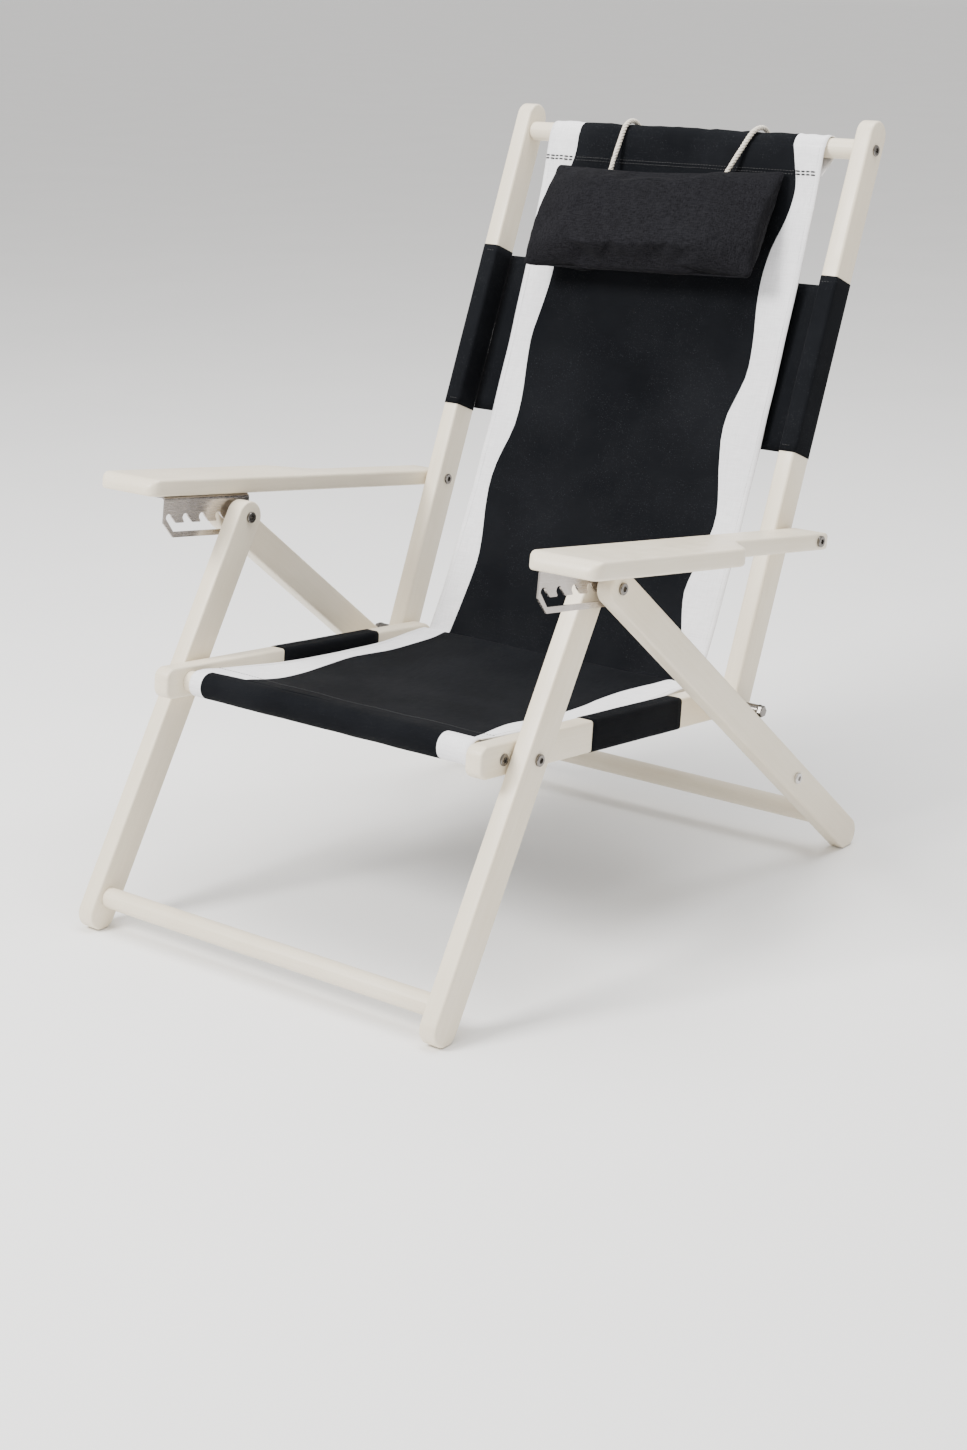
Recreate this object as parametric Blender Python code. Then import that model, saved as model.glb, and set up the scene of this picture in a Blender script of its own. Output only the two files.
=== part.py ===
"""Folding wooden beach chair with a fabric sling, notched reclining arms and a head pillow.

The frame is metres, +Z up.  The origin is on the ground, at the middle of the chair's footprint.
The sitter faces -Y, and +X is the sitter's left.
Every side profile lies in the Y-Z plane, and its angles are counted from +Y towards +Z.
"""
import math

import bmesh
import bpy
from mathutils import Matrix, Vector

# ---------------------------------------------------------------- driving dimensions
# Side profile: places and angles (metres and degrees).
APEX_Y, APEX_Z = -0.1478, 0.4271        # bolt that joins front and rear legs
FRONT_LEG_ANGLE = -121.86
REAR_LEG_ANGLE = -40.39
SEAT_ANGLE = -5.85
ARM_ANGLE = -8.30
TOP_DOWEL_Y, TOP_DOWEL_Z = 0.3960, 0.8344

# Distances along the rails.
APEX_TO_SEAT_PIVOT = 0.1941
APEX_TO_FRONT_STRETCHER = 0.4627
APEX_TO_FRONT_FOOT = 0.4817
APEX_TO_STOP_BOLT = 0.4709
APEX_TO_REAR_STRETCHER = 0.5870
APEX_TO_REAR_FOOT = 0.6320
SEAT_PIVOT_TO_BACK_PIVOT = 0.3852
SEAT_PIVOT_TO_FRONT_DOWEL = 0.0274
BACK_PIVOT_TO_ARM_PIVOT = 0.2033
SEAT_RAIL_OVERHANG = 0.0370             # rail in front of the seat's front dowel
BACK_RAIL_OVERHANG = 0.0174             # rail above the top dowel, to its end's centre

# Planes across the chair, from the middle (inner and outer face of each rail).
SEAT_RAIL_X = (0.2130, 0.2350)
FRONT_LEG_X = (0.23745, 0.25945)
BACK_RAIL_X = (0.23745, 0.25945)
REAR_LEG_X = (0.2695, 0.2895)
ARM_X = (0.2620, 0.3510)
ARM_TAIL_OUTER_X = 0.3090
BRACKET_X = (0.2642, 0.2664)
BRACKET_FLANGE_X = 0.2840

# Half widths of the rails in the side profile.
FRONT_LEG_HALF = 0.01865
REAR_LEG_HALF = 0.0193
SEAT_RAIL_HALF = 0.0175
BACK_RAIL_HALF = 0.0178
RAIL_EDGE = 0.0030                      # eased edges of the rails

# Arm, in its own frame: S runs back along the arm from the apex bolt, N is square to it.
ARM_UNDERSIDE_N, ARM_TOP_N = 0.0243, 0.0437
ARM_FRONT_S, ARM_REAR_S = -0.1370, 0.3820
ARM_STEP_S = (0.1280, 0.1900)           # where the paddle narrows to the tail
ARM_NOSE_RADIUS = 0.0140
ARM_CORNER_RADIUS = 0.0140
ARM_TAIL_CORNER = 0.0080
ARM_EDGE = 0.0030

# Notched bracket under each arm.
NOTCH_COUNT = 5
NOTCH_PITCH = 0.0265
NOTCH_RADIUS = 0.0043
TOOTH_TIP_N = -0.0060
CHANNEL_FLOOR_N = -0.0165
BRACKET_FOOT_N = -0.0230
BRACKET_FRONT_S, BRACKET_REAR_S = -0.1137, 0.0240
BRACKET_SHEET = 0.0022
BRACKET_SCREW_S = (-0.0860, -0.0080)
BRACKET_SCREW_X = 0.2755

# Dowels and fasteners.
STRETCHER_RADIUS = 0.0120
TOP_DOWEL_RADIUS = 0.0120
FRONT_DOWEL_RADIUS = 0.0120
REAR_DOWEL_RADIUS = 0.0110
SOCKET_DEPTH = 0.0080
SHANK_RADIUS = 0.0040
HEAD_RADIUS = 0.0066
HEAD_PROUD = 0.0030
HEX_RADIUS = 0.0034
HEX_DEPTH = 0.0020
SCREW_RADIUS = 0.0030
SCREW_DEPTH = 0.0260
SLEEVE_RADIUS = 0.0069
PIN_CLEARANCE = 0.0003                  # between each half of the apex pin and the bracket
GAP = 0.0003                            # between touching pieces
LOW_HEAD_PROUD = 0.0018                 # heads that another rail passes when the chair folds
BACK_PIVOT_END_X = 0.2655               # outer end of the back pivot's sleeve
DRILL_CLEARANCE = 0.0100                # how far a drill runs past each face
ROUND_SIDES = 24
SHANK_SIDES = 12

# Fabric.
SLING_HALF_WIDTH = 0.2010
SLING_SHEET = 0.0024
HEM_RADIUS = 0.0138                     # middle of the cloth round a dowel
SLEEVE_CLOTH = 0.0010
BACK_SLEEVE_SPAN = (0.1580, 0.3680)     # from the top dowel, down the back rail
SEAT_SLEEVE_SPAN = (0.1270, 0.2970)     # from the seat pivot, back along the seat rail
POUCH_DEPTH = 0.0080
PILLOW_HALF_WIDTH = 0.1660
PILLOW_HALF_HEIGHT = 0.0690
PILLOW_THICKNESS = 0.0540
PILLOW_DOWN = 0.1125                    # pillow's middle, below the top dowel
PILLOW_BACK_H = 0.0068                  # back of the pillow, in front of the back rails' middle
PILLOW_CENTRE_X = -0.0060
PILLOW_TILT = 0.0297                    # rise of the left end, for each metre across
PILLOW_TOP_PULL, PILLOW_SIDE_PULL = 0.11, 0.04
PILLOW_BACK_SLOPE = 0.0050              # the flat back follows the sling, so its head stands further forward
PILLOW_LEAN = 0.0100                    # seam at the foot stands this much further forward than the middle
ROPE_RADIUS = 0.0034
LEFT_ROPE = (0.1030, 0.0800, 0.0438)     # X at the dowel, X at the foot, and the foot below the dowel
RIGHT_ROPE = (-0.0860, -0.0890, 0.0490)
ROPE_REACH = 0.0192                     # middle of the rope round the hem


# ---------------------------------------------------------------- side-profile geometry
def direction(angle):
    """Unit vector in the Y-Z plane, as (y, z)."""
    return Vector((math.cos(math.radians(angle)), math.sin(math.radians(angle))))


def left_normal(vector):
    return Vector((-vector.y, vector.x))


APEX = Vector((APEX_Y, APEX_Z))
TOP_DOWEL = Vector((TOP_DOWEL_Y, TOP_DOWEL_Z))
FRONT_LEG_DIR = direction(FRONT_LEG_ANGLE)
REAR_LEG_DIR = direction(REAR_LEG_ANGLE)
SEAT_DIR = direction(SEAT_ANGLE)
SEAT_UP = left_normal(SEAT_DIR)
ARM_DIR = direction(ARM_ANGLE)
ARM_UP = left_normal(ARM_DIR)
SEAT_PIVOT = APEX + FRONT_LEG_DIR * APEX_TO_SEAT_PIVOT
FRONT_STRETCHER = APEX + FRONT_LEG_DIR * APEX_TO_FRONT_STRETCHER
FRONT_FOOT = APEX + FRONT_LEG_DIR * APEX_TO_FRONT_FOOT
STOP_BOLT = APEX + REAR_LEG_DIR * APEX_TO_STOP_BOLT
REAR_STRETCHER = APEX + REAR_LEG_DIR * APEX_TO_REAR_STRETCHER
REAR_FOOT = APEX + REAR_LEG_DIR * APEX_TO_REAR_FOOT
BACK_PIVOT = SEAT_PIVOT + SEAT_DIR * SEAT_PIVOT_TO_BACK_PIVOT
FRONT_DOWEL = SEAT_PIVOT - SEAT_DIR * SEAT_PIVOT_TO_FRONT_DOWEL
BACK_DIR = (TOP_DOWEL - BACK_PIVOT).normalized()
BACK_FRONT = left_normal(BACK_DIR)
ARM_PIVOT = BACK_PIVOT + BACK_DIR * BACK_PIVOT_TO_ARM_PIVOT


def arm_point(s, n):
    return APEX + ARM_DIR * s + ARM_UP * n


def back_point(down, forward):
    """A point on the back: down from the top dowel, forward of the rails' middle."""
    return TOP_DOWEL - BACK_DIR * down + BACK_FRONT * forward


def seat_point(rearward, up):
    """A point on the seat: back from the front dowel, up from the rails' middle."""
    return FRONT_DOWEL + SEAT_DIR * rearward + SEAT_UP * up


def arc(centre, radius, start, end, steps):
    """Points of a circular arc, as (first, second) coordinates."""
    points = []
    for step in range(steps + 1):
        angle = math.radians(start + (end - start) * step / steps)
        spoke = Vector((math.cos(angle), math.sin(angle))) * radius
        points.append(Vector(centre) + spoke)
    return points


# ---------------------------------------------------------------- scene and materials
def clear_scene():
    for item in list(bpy.data.objects):
        bpy.data.objects.remove(item, do_unlink=True)


def make_material(name, colour, roughness, metallic=0.0):
    material = bpy.data.materials.new(name)
    material.use_nodes = True
    shader = material.node_tree.nodes["Principled BSDF"]
    shader.inputs["Base Color"].default_value = (*colour, 1.0)
    shader.inputs["Roughness"].default_value = roughness
    shader.inputs["Metallic"].default_value = metallic
    return material


# ---------------------------------------------------------------- mesh helpers
def add_object(name, mesh, material):
    item = bpy.data.objects.new(name, mesh)
    bpy.context.scene.collection.objects.link(item)
    mesh.materials.append(material)
    return item


def mesh_from_bmesh(name, shape):
    bmesh.ops.recalc_face_normals(shape, faces=shape.faces)
    mesh = bpy.data.meshes.new(name)
    shape.to_mesh(mesh)
    shape.free()
    return mesh


def prism(name, outline, x0, x1, material):
    """Closed prism of a Y-Z outline between two X planes."""
    shape = bmesh.new()
    ring = [shape.verts.new((x0, point[0], point[1])) for point in outline]
    face = shape.faces.new(ring)
    swept = bmesh.ops.extrude_face_region(shape, geom=[face])
    verts = [part for part in swept["geom"] if isinstance(part, bmesh.types.BMVert)]
    bmesh.ops.translate(shape, verts=verts, vec=(x1 - x0, 0.0, 0.0))
    return add_object(name, mesh_from_bmesh(name, shape), material)


def turned(name, profile, centre, material, sides=ROUND_SIDES):
    """Solid turned about an X axis through centre.  The profile is (x, radius), tip to tip."""
    shape = bmesh.new()
    first = shape.verts.new((profile[0][0], centre[0], centre[1]))
    last = shape.verts.new((profile[-1][0], centre[0], centre[1]))
    rings = []
    for x, radius in profile[1:-1]:
        ring = []
        for side in range(sides):
            angle = 2.0 * math.pi * side / sides
            place = (x, centre[0] + radius * math.cos(angle), centre[1] + radius * math.sin(angle))
            ring.append(shape.verts.new(place))
        rings.append(ring)
    for side in range(sides):
        following = (side + 1) % sides
        shape.faces.new((first, rings[0][side], rings[0][following]))
        shape.faces.new((last, rings[-1][following], rings[-1][side]))
        for ring, beyond in zip(rings, rings[1:]):
            shape.faces.new((ring[side], beyond[side], beyond[following], ring[following]))
    item = add_object(name, mesh_from_bmesh(name, shape), material)
    item.data.shade_smooth()
    item.data.set_sharp_from_angle(angle=math.radians(35))
    return item


def rod(name, centre, radius, x0, x1, material, sides=ROUND_SIDES, ease=0.0):
    """Round bar along X, with optional eased ends."""
    profile = [(x0, 0.0), (x0, radius - ease)]
    if ease:
        profile += [(x0 + ease, radius), (x1 - ease, radius)]
    profile += [(x1, radius - ease), (x1, 0.0)]
    return turned(name, profile, centre, material, sides)


def freeze(item):
    """Turn the object's modifiers into plain mesh."""
    graph = bpy.context.evaluated_depsgraph_get()
    mesh = bpy.data.meshes.new_from_object(item.evaluated_get(graph))
    item.modifiers.clear()
    item.data = mesh


def boolean(item, tool, operation="DIFFERENCE"):
    """Cut or intersect the object with a tool solid, which is then removed."""
    modifier = item.modifiers.new("boolean", "BOOLEAN")
    modifier.operation = operation
    modifier.solver = "EXACT"
    modifier.object = tool
    freeze(item)
    bpy.data.objects.remove(tool, do_unlink=True)


def ease_edges(item, width, segments=2, angle=50.0):
    modifier = item.modifiers.new("eased_edges", "BEVEL")
    modifier.width = width
    modifier.segments = segments
    modifier.limit_method = "ANGLE"
    modifier.angle_limit = math.radians(angle)
    modifier.use_clamp_overlap = True
    freeze(item)


def drill(item, centre, radius, x0, x1, sides=SHANK_SIDES):
    """Round hole along X."""
    tool = rod("drill", centre, radius, x0, x1, item.data.materials[0], sides)
    boolean(item, tool)


def drill_through(item, centre, radius, faces):
    """Round hole along X, right through the piece between two faces."""
    drill(item, centre, radius, faces[0] - DRILL_CLEARANCE, faces[1] + DRILL_CLEARANCE)


def drill_socket(item, centre, radius, inner_x):
    """Blind hole from the inner face at X = inner_x, for the end of a stretcher."""
    drill(item, centre, radius + GAP, inner_x - DRILL_CLEARANCE, inner_x + SOCKET_DEPTH, ROUND_SIDES)


def mirrored(item, name):
    """The same piece on the other side of the chair."""
    shape = bmesh.new()
    shape.from_mesh(item.data)
    bmesh.ops.scale(shape, verts=shape.verts, vec=(-1.0, 1.0, 1.0))
    bmesh.ops.reverse_faces(shape, faces=shape.faces)
    mesh = bpy.data.meshes.new(name)
    shape.to_mesh(mesh)
    shape.free()
    copy = bpy.data.objects.new(name, mesh)
    bpy.context.scene.collection.objects.link(copy)
    mesh.materials.append(item.data.materials[0])
    return copy


def pair(item):
    """Name the piece for its side and add the opposite one."""
    base = item.name
    item.name = base + "_left"
    return [item, mirrored(item, base + "_right")]


# ---------------------------------------------------------------- timber
def rail_outline(start, end, half):
    """Straight rail with a half circle at each end."""
    along = (end - start).normalized()
    angle = math.degrees(math.atan2(along.y, along.x))
    points = arc(start, half, angle + 90.0, angle + 270.0, 12)
    points += arc(end, half, angle - 90.0, angle + 90.0, 12)
    return points


def cut_level(item):
    """Cut the rail flat where it stands on the ground."""
    reach = 2.0
    outline = [(-reach, -reach), (reach, -reach), (reach, 0.0), (-reach, 0.0)]
    boolean(item, prism("ground", outline, -reach, reach, item.data.materials[0]))


def front_legs(wood):
    leg = prism("front_leg", rail_outline(APEX, FRONT_FOOT, FRONT_LEG_HALF), *FRONT_LEG_X, wood)
    cut_level(leg)
    ease_edges(leg, RAIL_EDGE)
    for centre in (APEX, SEAT_PIVOT):
        drill_through(leg, centre, SHANK_RADIUS + GAP, FRONT_LEG_X)
    drill_socket(leg, FRONT_STRETCHER, STRETCHER_RADIUS, FRONT_LEG_X[0])
    return pair(leg)


def rear_legs(wood):
    leg = prism("rear_leg", rail_outline(APEX, REAR_FOOT, REAR_LEG_HALF), *REAR_LEG_X, wood)
    cut_level(leg)
    ease_edges(leg, RAIL_EDGE)
    for centre in (APEX, STOP_BOLT):
        drill_through(leg, centre, SHANK_RADIUS + GAP, REAR_LEG_X)
    drill_socket(leg, REAR_STRETCHER, STRETCHER_RADIUS, REAR_LEG_X[0])
    return pair(leg)


def seat_rails(wood):
    corner = 0.0120
    half = SEAT_RAIL_HALF
    nose = SEAT_PIVOT - SEAT_DIR * (SEAT_PIVOT_TO_FRONT_DOWEL + SEAT_RAIL_OVERHANG)
    lower = nose + SEAT_DIR * corner - SEAT_UP * (half - corner)
    upper = nose + SEAT_DIR * corner + SEAT_UP * (half - corner)
    outline = arc(upper, corner, SEAT_ANGLE + 90.0, SEAT_ANGLE + 180.0, 6)
    outline += arc(lower, corner, SEAT_ANGLE + 180.0, SEAT_ANGLE + 270.0, 6)
    outline += arc(BACK_PIVOT, half, SEAT_ANGLE - 90.0, SEAT_ANGLE + 90.0, 12)
    rail = prism("seat_rail", outline, *SEAT_RAIL_X, wood)
    ease_edges(rail, RAIL_EDGE)
    for centre in (SEAT_PIVOT, BACK_PIVOT):
        drill_through(rail, centre, SHANK_RADIUS + GAP, SEAT_RAIL_X)
    drill_through(rail, FRONT_DOWEL, SCREW_RADIUS + GAP, SEAT_RAIL_X)
    return pair(rail)


def back_rails(wood):
    top = TOP_DOWEL + BACK_DIR * BACK_RAIL_OVERHANG
    rail = prism("back_rail", rail_outline(top, BACK_PIVOT, BACK_RAIL_HALF), *BACK_RAIL_X, wood)
    ease_edges(rail, RAIL_EDGE)
    for centre in (BACK_PIVOT, ARM_PIVOT):
        drill_through(rail, centre, SHANK_RADIUS + GAP, BACK_RAIL_X)
    drill_through(rail, TOP_DOWEL, SCREW_RADIUS + GAP, BACK_RAIL_X)
    return pair(rail)


def screwed_dowel(name, centre, radius, reach, bore, wood):
    """Dowel between two rails, drilled at both ends for its screws or bolts."""
    dowel = rod(name, centre, radius, -reach, reach, wood)
    for end in (-1.0, 1.0):
        span = sorted((end * (reach - SCREW_DEPTH - 0.002), end * (reach + DRILL_CLEARANCE)))
        drill(dowel, centre, bore + GAP, *span)
    return dowel


def socketed_dowel(name, centre, inner_x, wood):
    """Stretcher whose ends sit in blind sockets."""
    reach = inner_x + SOCKET_DEPTH - GAP
    return rod(name, centre, STRETCHER_RADIUS, -reach, reach, wood, ease=0.001)


# ---------------------------------------------------------------- arms and brackets
def arm_plan():
    """Outline of the arm seen from above, as (x, s)."""
    inner, outer = ARM_X
    r = ARM_CORNER_RADIUS
    t = ARM_TAIL_CORNER
    points = arc((inner + r, ARM_FRONT_S + r), r, 180.0, 270.0, 5)
    points += arc((outer - r, ARM_FRONT_S + r), r, 270.0, 360.0, 5)
    steps = 8
    for step in range(steps + 1):
        share = step / steps
        blend = 0.5 - 0.5 * math.cos(math.pi * share)
        s = ARM_STEP_S[0] + (ARM_STEP_S[1] - ARM_STEP_S[0]) * share
        points.append(Vector((outer + (ARM_TAIL_OUTER_X - outer) * blend, s)))
    points += arc((ARM_TAIL_OUTER_X - t, ARM_REAR_S - t), t, 0.0, 90.0, 3)
    points += arc((inner + t, ARM_REAR_S - t), t, 90.0, 180.0, 3)
    return points


def arm_side():
    """Outline of the arm seen from the side, as (y, z), with its rounded nose."""
    nose = ARM_NOSE_RADIUS
    points = []
    for s, n in arc((ARM_FRONT_S + nose, ARM_TOP_N - nose), nose, 90.0, 180.0, 6):
        points.append(arm_point(s, n))
    chin = 0.0045
    for s, n in arc((ARM_FRONT_S + chin, ARM_UNDERSIDE_N + chin), chin, 180.0, 270.0, 3):
        points.append(arm_point(s, n))
    tail = 0.0080
    for s, n in arc((ARM_REAR_S - tail, ARM_UNDERSIDE_N + tail), tail, 270.0, 360.0, 4):
        points.append(arm_point(s, n))
    for s, n in arc((ARM_REAR_S - tail, ARM_TOP_N - tail), tail, 0.0, 90.0, 4):
        points.append(arm_point(s, n))
    return points


def plan_prism(name, outline, n0, n1, material):
    """Closed prism of an (x, s) outline, thick along the arm's N direction."""
    shape = bmesh.new()
    ring = []
    for x, s in outline:
        y, z = arm_point(s, n0)
        ring.append(shape.verts.new((x, y, z)))
    face = shape.faces.new(ring)
    swept = bmesh.ops.extrude_face_region(shape, geom=[face])
    verts = [part for part in swept["geom"] if isinstance(part, bmesh.types.BMVert)]
    lift = ARM_UP * (n1 - n0)
    bmesh.ops.translate(shape, verts=verts, vec=(0.0, lift.x, lift.y))
    return add_object(name, mesh_from_bmesh(name, shape), material)


def drill_up(item, x, s, n0, n1, radius):
    """Round hole along the arm's N direction."""
    tool = upright("drill", x, s, [(n0, radius), (n1, radius)], item.data.materials[0], SHANK_SIDES)
    boolean(item, tool)


def upright(name, x, s, profile, material, sides=ROUND_SIDES):
    """Solid turned about the arm's N direction.  The profile is (n, radius), foot to head."""
    foot, head = profile[0][0], profile[-1][0]
    item = turned(name, [(foot, 0.0), *profile, (head, 0.0)], (0.0, 0.0), material, sides)
    across = Vector((1.0, 0.0, 0.0))
    up = Vector((0.0, ARM_UP.x, ARM_UP.y))
    base = APEX + ARM_DIR * s
    turn = Matrix((up, across, up.cross(across))).transposed().to_4x4()
    item.data.transform(Matrix.Translation((x, base.x, base.y)) @ turn)
    return item


def arms(wood):
    arm = plan_prism("arm", arm_plan(), ARM_UNDERSIDE_N, ARM_TOP_N, wood)
    span = (ARM_X[0] - DRILL_CLEARANCE, ARM_X[1] + DRILL_CLEARANCE)
    boolean(arm, prism("arm_side", arm_side(), *span, wood), "INTERSECT")
    ease_edges(arm, ARM_EDGE, 2, 55.0)
    drill_through(arm, ARM_PIVOT, SHANK_RADIUS + GAP, (ARM_X[0], ARM_TAIL_OUTER_X))
    for s in BRACKET_SCREW_S:
        drill_up(arm, BRACKET_SCREW_X, s, 0.0, ARM_UNDERSIDE_N + 0.0125, SCREW_RADIUS - 0.0006)
    return pair(arm)


def bracket_window():
    """Opening in the bracket: slanted notches above a channel, as (y, z)."""
    first = -NOTCH_PITCH * (NOTCH_COUNT - 1)
    points = []
    for index in range(NOTCH_COUNT):
        s = first + NOTCH_PITCH * index
        if index:
            points.append(arm_point(s - 0.0012, TOOTH_TIP_N))
        points.append(arm_point(s - NOTCH_RADIUS, -0.0012))
        for place in arc((s, 0.0), NOTCH_RADIUS, 180.0, 20.0, 6):
            points.append(arm_point(*place))
        if index < NOTCH_COUNT - 1:
            points.append(arm_point(s + 0.0123, TOOTH_TIP_N))
    points.append(arm_point(NOTCH_RADIUS + 0.0012, CHANNEL_FLOOR_N))
    points.append(arm_point(first + 0.0095, CHANNEL_FLOOR_N))
    return points


def bracket_outline():
    corner = 0.0165
    return [
        arm_point(BRACKET_FRONT_S, ARM_UNDERSIDE_N - GAP),
        arm_point(BRACKET_FRONT_S, BRACKET_FOOT_N + corner),
        arm_point(BRACKET_FRONT_S + corner, BRACKET_FOOT_N),
        arm_point(BRACKET_REAR_S - corner, BRACKET_FOOT_N),
        arm_point(BRACKET_REAR_S, BRACKET_FOOT_N + corner),
        arm_point(BRACKET_REAR_S, ARM_UNDERSIDE_N - GAP),
    ]


def brackets(steel):
    """Bent steel plate: a notched web beside the legs and a flange screwed under the arm."""
    plate = prism("arm_bracket", bracket_outline(), BRACKET_X[0], BRACKET_FLANGE_X, steel)
    n_top = ARM_UNDERSIDE_N - GAP - BRACKET_SHEET
    waste = [
        arm_point(BRACKET_FRONT_S - 0.01, n_top),
        arm_point(BRACKET_FRONT_S - 0.01, BRACKET_FOOT_N - 0.01),
        arm_point(BRACKET_REAR_S + 0.01, BRACKET_FOOT_N - 0.01),
        arm_point(BRACKET_REAR_S + 0.01, n_top),
    ]
    boolean(plate, prism("waste", waste, BRACKET_X[1], BRACKET_FLANGE_X + 0.01, steel))
    boolean(plate, prism("window", bracket_window(), BRACKET_X[0] - 0.01, BRACKET_X[1] + 0.01, steel))
    for s in BRACKET_SCREW_S:
        drill_up(plate, BRACKET_SCREW_X, s, 0.0, ARM_UNDERSIDE_N + 0.01, SCREW_RADIUS)
    return pair(plate)


def bracket_screws(steel):
    """Flush screws that hold the flange to the arm."""
    pieces = []
    face = ARM_UNDERSIDE_N - GAP - BRACKET_SHEET
    head = SCREW_RADIUS - GAP
    shank = SCREW_RADIUS - 0.0010
    for index, s in enumerate(BRACKET_SCREW_S):
        profile = [
            (face, head),
            (ARM_UNDERSIDE_N - GAP, head),
            (ARM_UNDERSIDE_N - GAP, shank),
            (ARM_UNDERSIDE_N + 0.0110, shank),
        ]
        place = ("front", "rear")[index]
        pieces += pair(upright("bracket_screw_" + place, BRACKET_SCREW_X, s, profile, steel, 16))
    return pieces


# ---------------------------------------------------------------- fasteners
def hex_socket(bolt, centre, face, outward):
    """Hexagonal recess in a head whose outer face is at X = face."""
    depth = face - outward * HEX_DEPTH
    span = sorted((depth, face + outward * 0.002))
    boolean(bolt, rod("key", centre, HEX_RADIUS, *span, bolt.data.materials[0], 6))


def headed(name, centre, face, tip, shank, steel, head=HEAD_RADIUS, proud=HEAD_PROUD):
    """Bolt with its head on the face at X = face and its shank running to X = tip."""
    outward = 1.0 if face > tip else -1.0
    seat = face + outward * GAP
    top = seat + outward * proud
    ease = 0.0008
    profile = [
        (tip, 0.0), (tip, shank), (seat, shank), (seat, head),
        (top - outward * ease, head), (top, head - ease), (top, 0.0),
    ]
    bolt = turned(name, profile, centre, steel)
    hex_socket(bolt, centre, top, outward)
    return bolt


def apex_pins(steel):
    """The apex pin in two halves, one each side of the bracket plate.  Returns the outer halves."""
    outer = headed("apex_bolt", APEX, REAR_LEG_X[1], BRACKET_X[1] + PIN_CLEARANCE, SHANK_RADIUS, steel)
    inner = headed("apex_nut", APEX, FRONT_LEG_X[0], BRACKET_X[0] - PIN_CLEARANCE, SHANK_RADIUS, steel)
    pair(inner)
    return pair(outer)


def seat_pivot_bolts(steel):
    """Bolts through front leg and seat rail."""
    bolt = headed("seat_pivot_bolt", SEAT_PIVOT, FRONT_LEG_X[1], SEAT_RAIL_X[0] + 0.002, SHANK_RADIUS, steel)
    return pair(bolt)


def stop_bolts(steel):
    bolt = headed("rear_leg_bolt", STOP_BOLT, REAR_LEG_X[1], REAR_LEG_X[0] + 0.001, SHANK_RADIUS, steel)
    return pair(bolt)


def back_pivot_bolts(steel):
    """Bolts through back rail and seat rail into the rear dowel."""
    tip = SEAT_RAIL_X[0] - SCREW_DEPTH + 0.001
    bolt = headed("back_pivot_bolt", BACK_PIVOT, BACK_PIVOT_END_X, tip, SHANK_RADIUS, steel, SLEEVE_RADIUS)
    return pair(bolt)


def back_pivot_sleeves(steel):
    """Spacer tubes on the back pivot bolts, outside the back rails."""
    span = (BACK_RAIL_X[1] + GAP, BACK_PIVOT_END_X)
    sleeve = rod("back_pivot_sleeve", BACK_PIVOT, SLEEVE_RADIUS, *span, steel)
    drill_through(sleeve, BACK_PIVOT, SHANK_RADIUS + GAP, span)
    return pair(sleeve)


def dowel_screws(name, centre, face, inner_face, steel):
    tip = inner_face - SCREW_DEPTH + 0.001
    return pair(headed(name, centre, face, tip, SCREW_RADIUS, steel, proud=LOW_HEAD_PROUD))


def arm_pivot_bolts(steel):
    """Bolts from the arm's outer face and low sleeve nuts that meet them inside the back rail."""
    meeting = (BACK_RAIL_X[0] + BACK_RAIL_X[1]) / 2.0
    bolt = headed("arm_pivot_bolt", ARM_PIVOT, ARM_TAIL_OUTER_X, meeting + GAP, SHANK_RADIUS, steel)
    nut = headed("arm_pivot_nut", ARM_PIVOT, BACK_RAIL_X[0], meeting, SHANK_RADIUS, steel,
                 proud=LOW_HEAD_PROUD)
    return pair(bolt) + pair(nut)


# ---------------------------------------------------------------- fabric
def strip_outline(path, thickness):
    """Closed outline of a strip of cloth whose middle follows the path."""
    left, right = [], []
    for index, point in enumerate(path):
        before = path[max(index - 1, 0)]
        after = path[min(index + 1, len(path) - 1)]
        side = left_normal((after - before).normalized()) * (thickness / 2.0)
        left.append(point + side)
        right.append(point - side)
    return left + right[::-1]


def smooth_path(points, per_span):
    """Catmull-Rom curve through the points."""
    path = []
    for index in range(len(points) - 1):
        p0 = points[max(index - 1, 0)]
        p1, p2 = points[index], points[index + 1]
        p3 = points[min(index + 2, len(points) - 1)]
        for step in range(per_span):
            t = step / per_span
            a = p1 * 2.0
            b = (p2 - p0) * t
            c = (p0 * 2.0 - p1 * 5.0 + p2 * 4.0 - p3) * t * t
            d = (p1 * 3.0 - p0 - p2 * 3.0 + p3) * t ** 3
            path.append((a + b + c + d) * 0.5)
    path.append(points[-1])
    return path


def back_sling(cloth):
    """Cloth round the top dowel and down the front of the back, to the crease."""
    hem = [back_point(-math.sin(a) * HEM_RADIUS, math.cos(a) * HEM_RADIUS)
           for a in [math.radians(200.0 - 20.0 * step) for step in range(11)]]
    run = [(0.010, 0.0138), (0.080, 0.0060), (0.200, -0.0020), (0.330, -0.0060), (0.480, -0.0050),
           (0.590, 0.0010), (0.6460, 0.0060)]
    path = hem + smooth_path([back_point(*place) for place in run], 3)
    outline = strip_outline(path, SLING_SHEET)
    return prism("back_sling", outline, -SLING_HALF_WIDTH, SLING_HALF_WIDTH, cloth)


def seat_sling(cloth):
    """Cloth round the seat's front dowel and back over the seat, to the crease."""
    hem = [seat_point(-math.cos(a) * HEM_RADIUS, math.sin(a) * HEM_RADIUS)
           for a in [math.radians(-110.0 + 20.0 * step) for step in range(11)]]
    run = [(0.012, 0.0140), (0.090, 0.0090), (0.190, 0.0050), (0.290, 0.0070), (0.365, 0.0130),
           (0.396, 0.0165)]
    path = hem + smooth_path([seat_point(*place) for place in run], 3)
    outline = strip_outline(path, SLING_SHEET)
    return prism("seat_sling", outline, -SLING_HALF_WIDTH, SLING_HALF_WIDTH, cloth)


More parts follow.
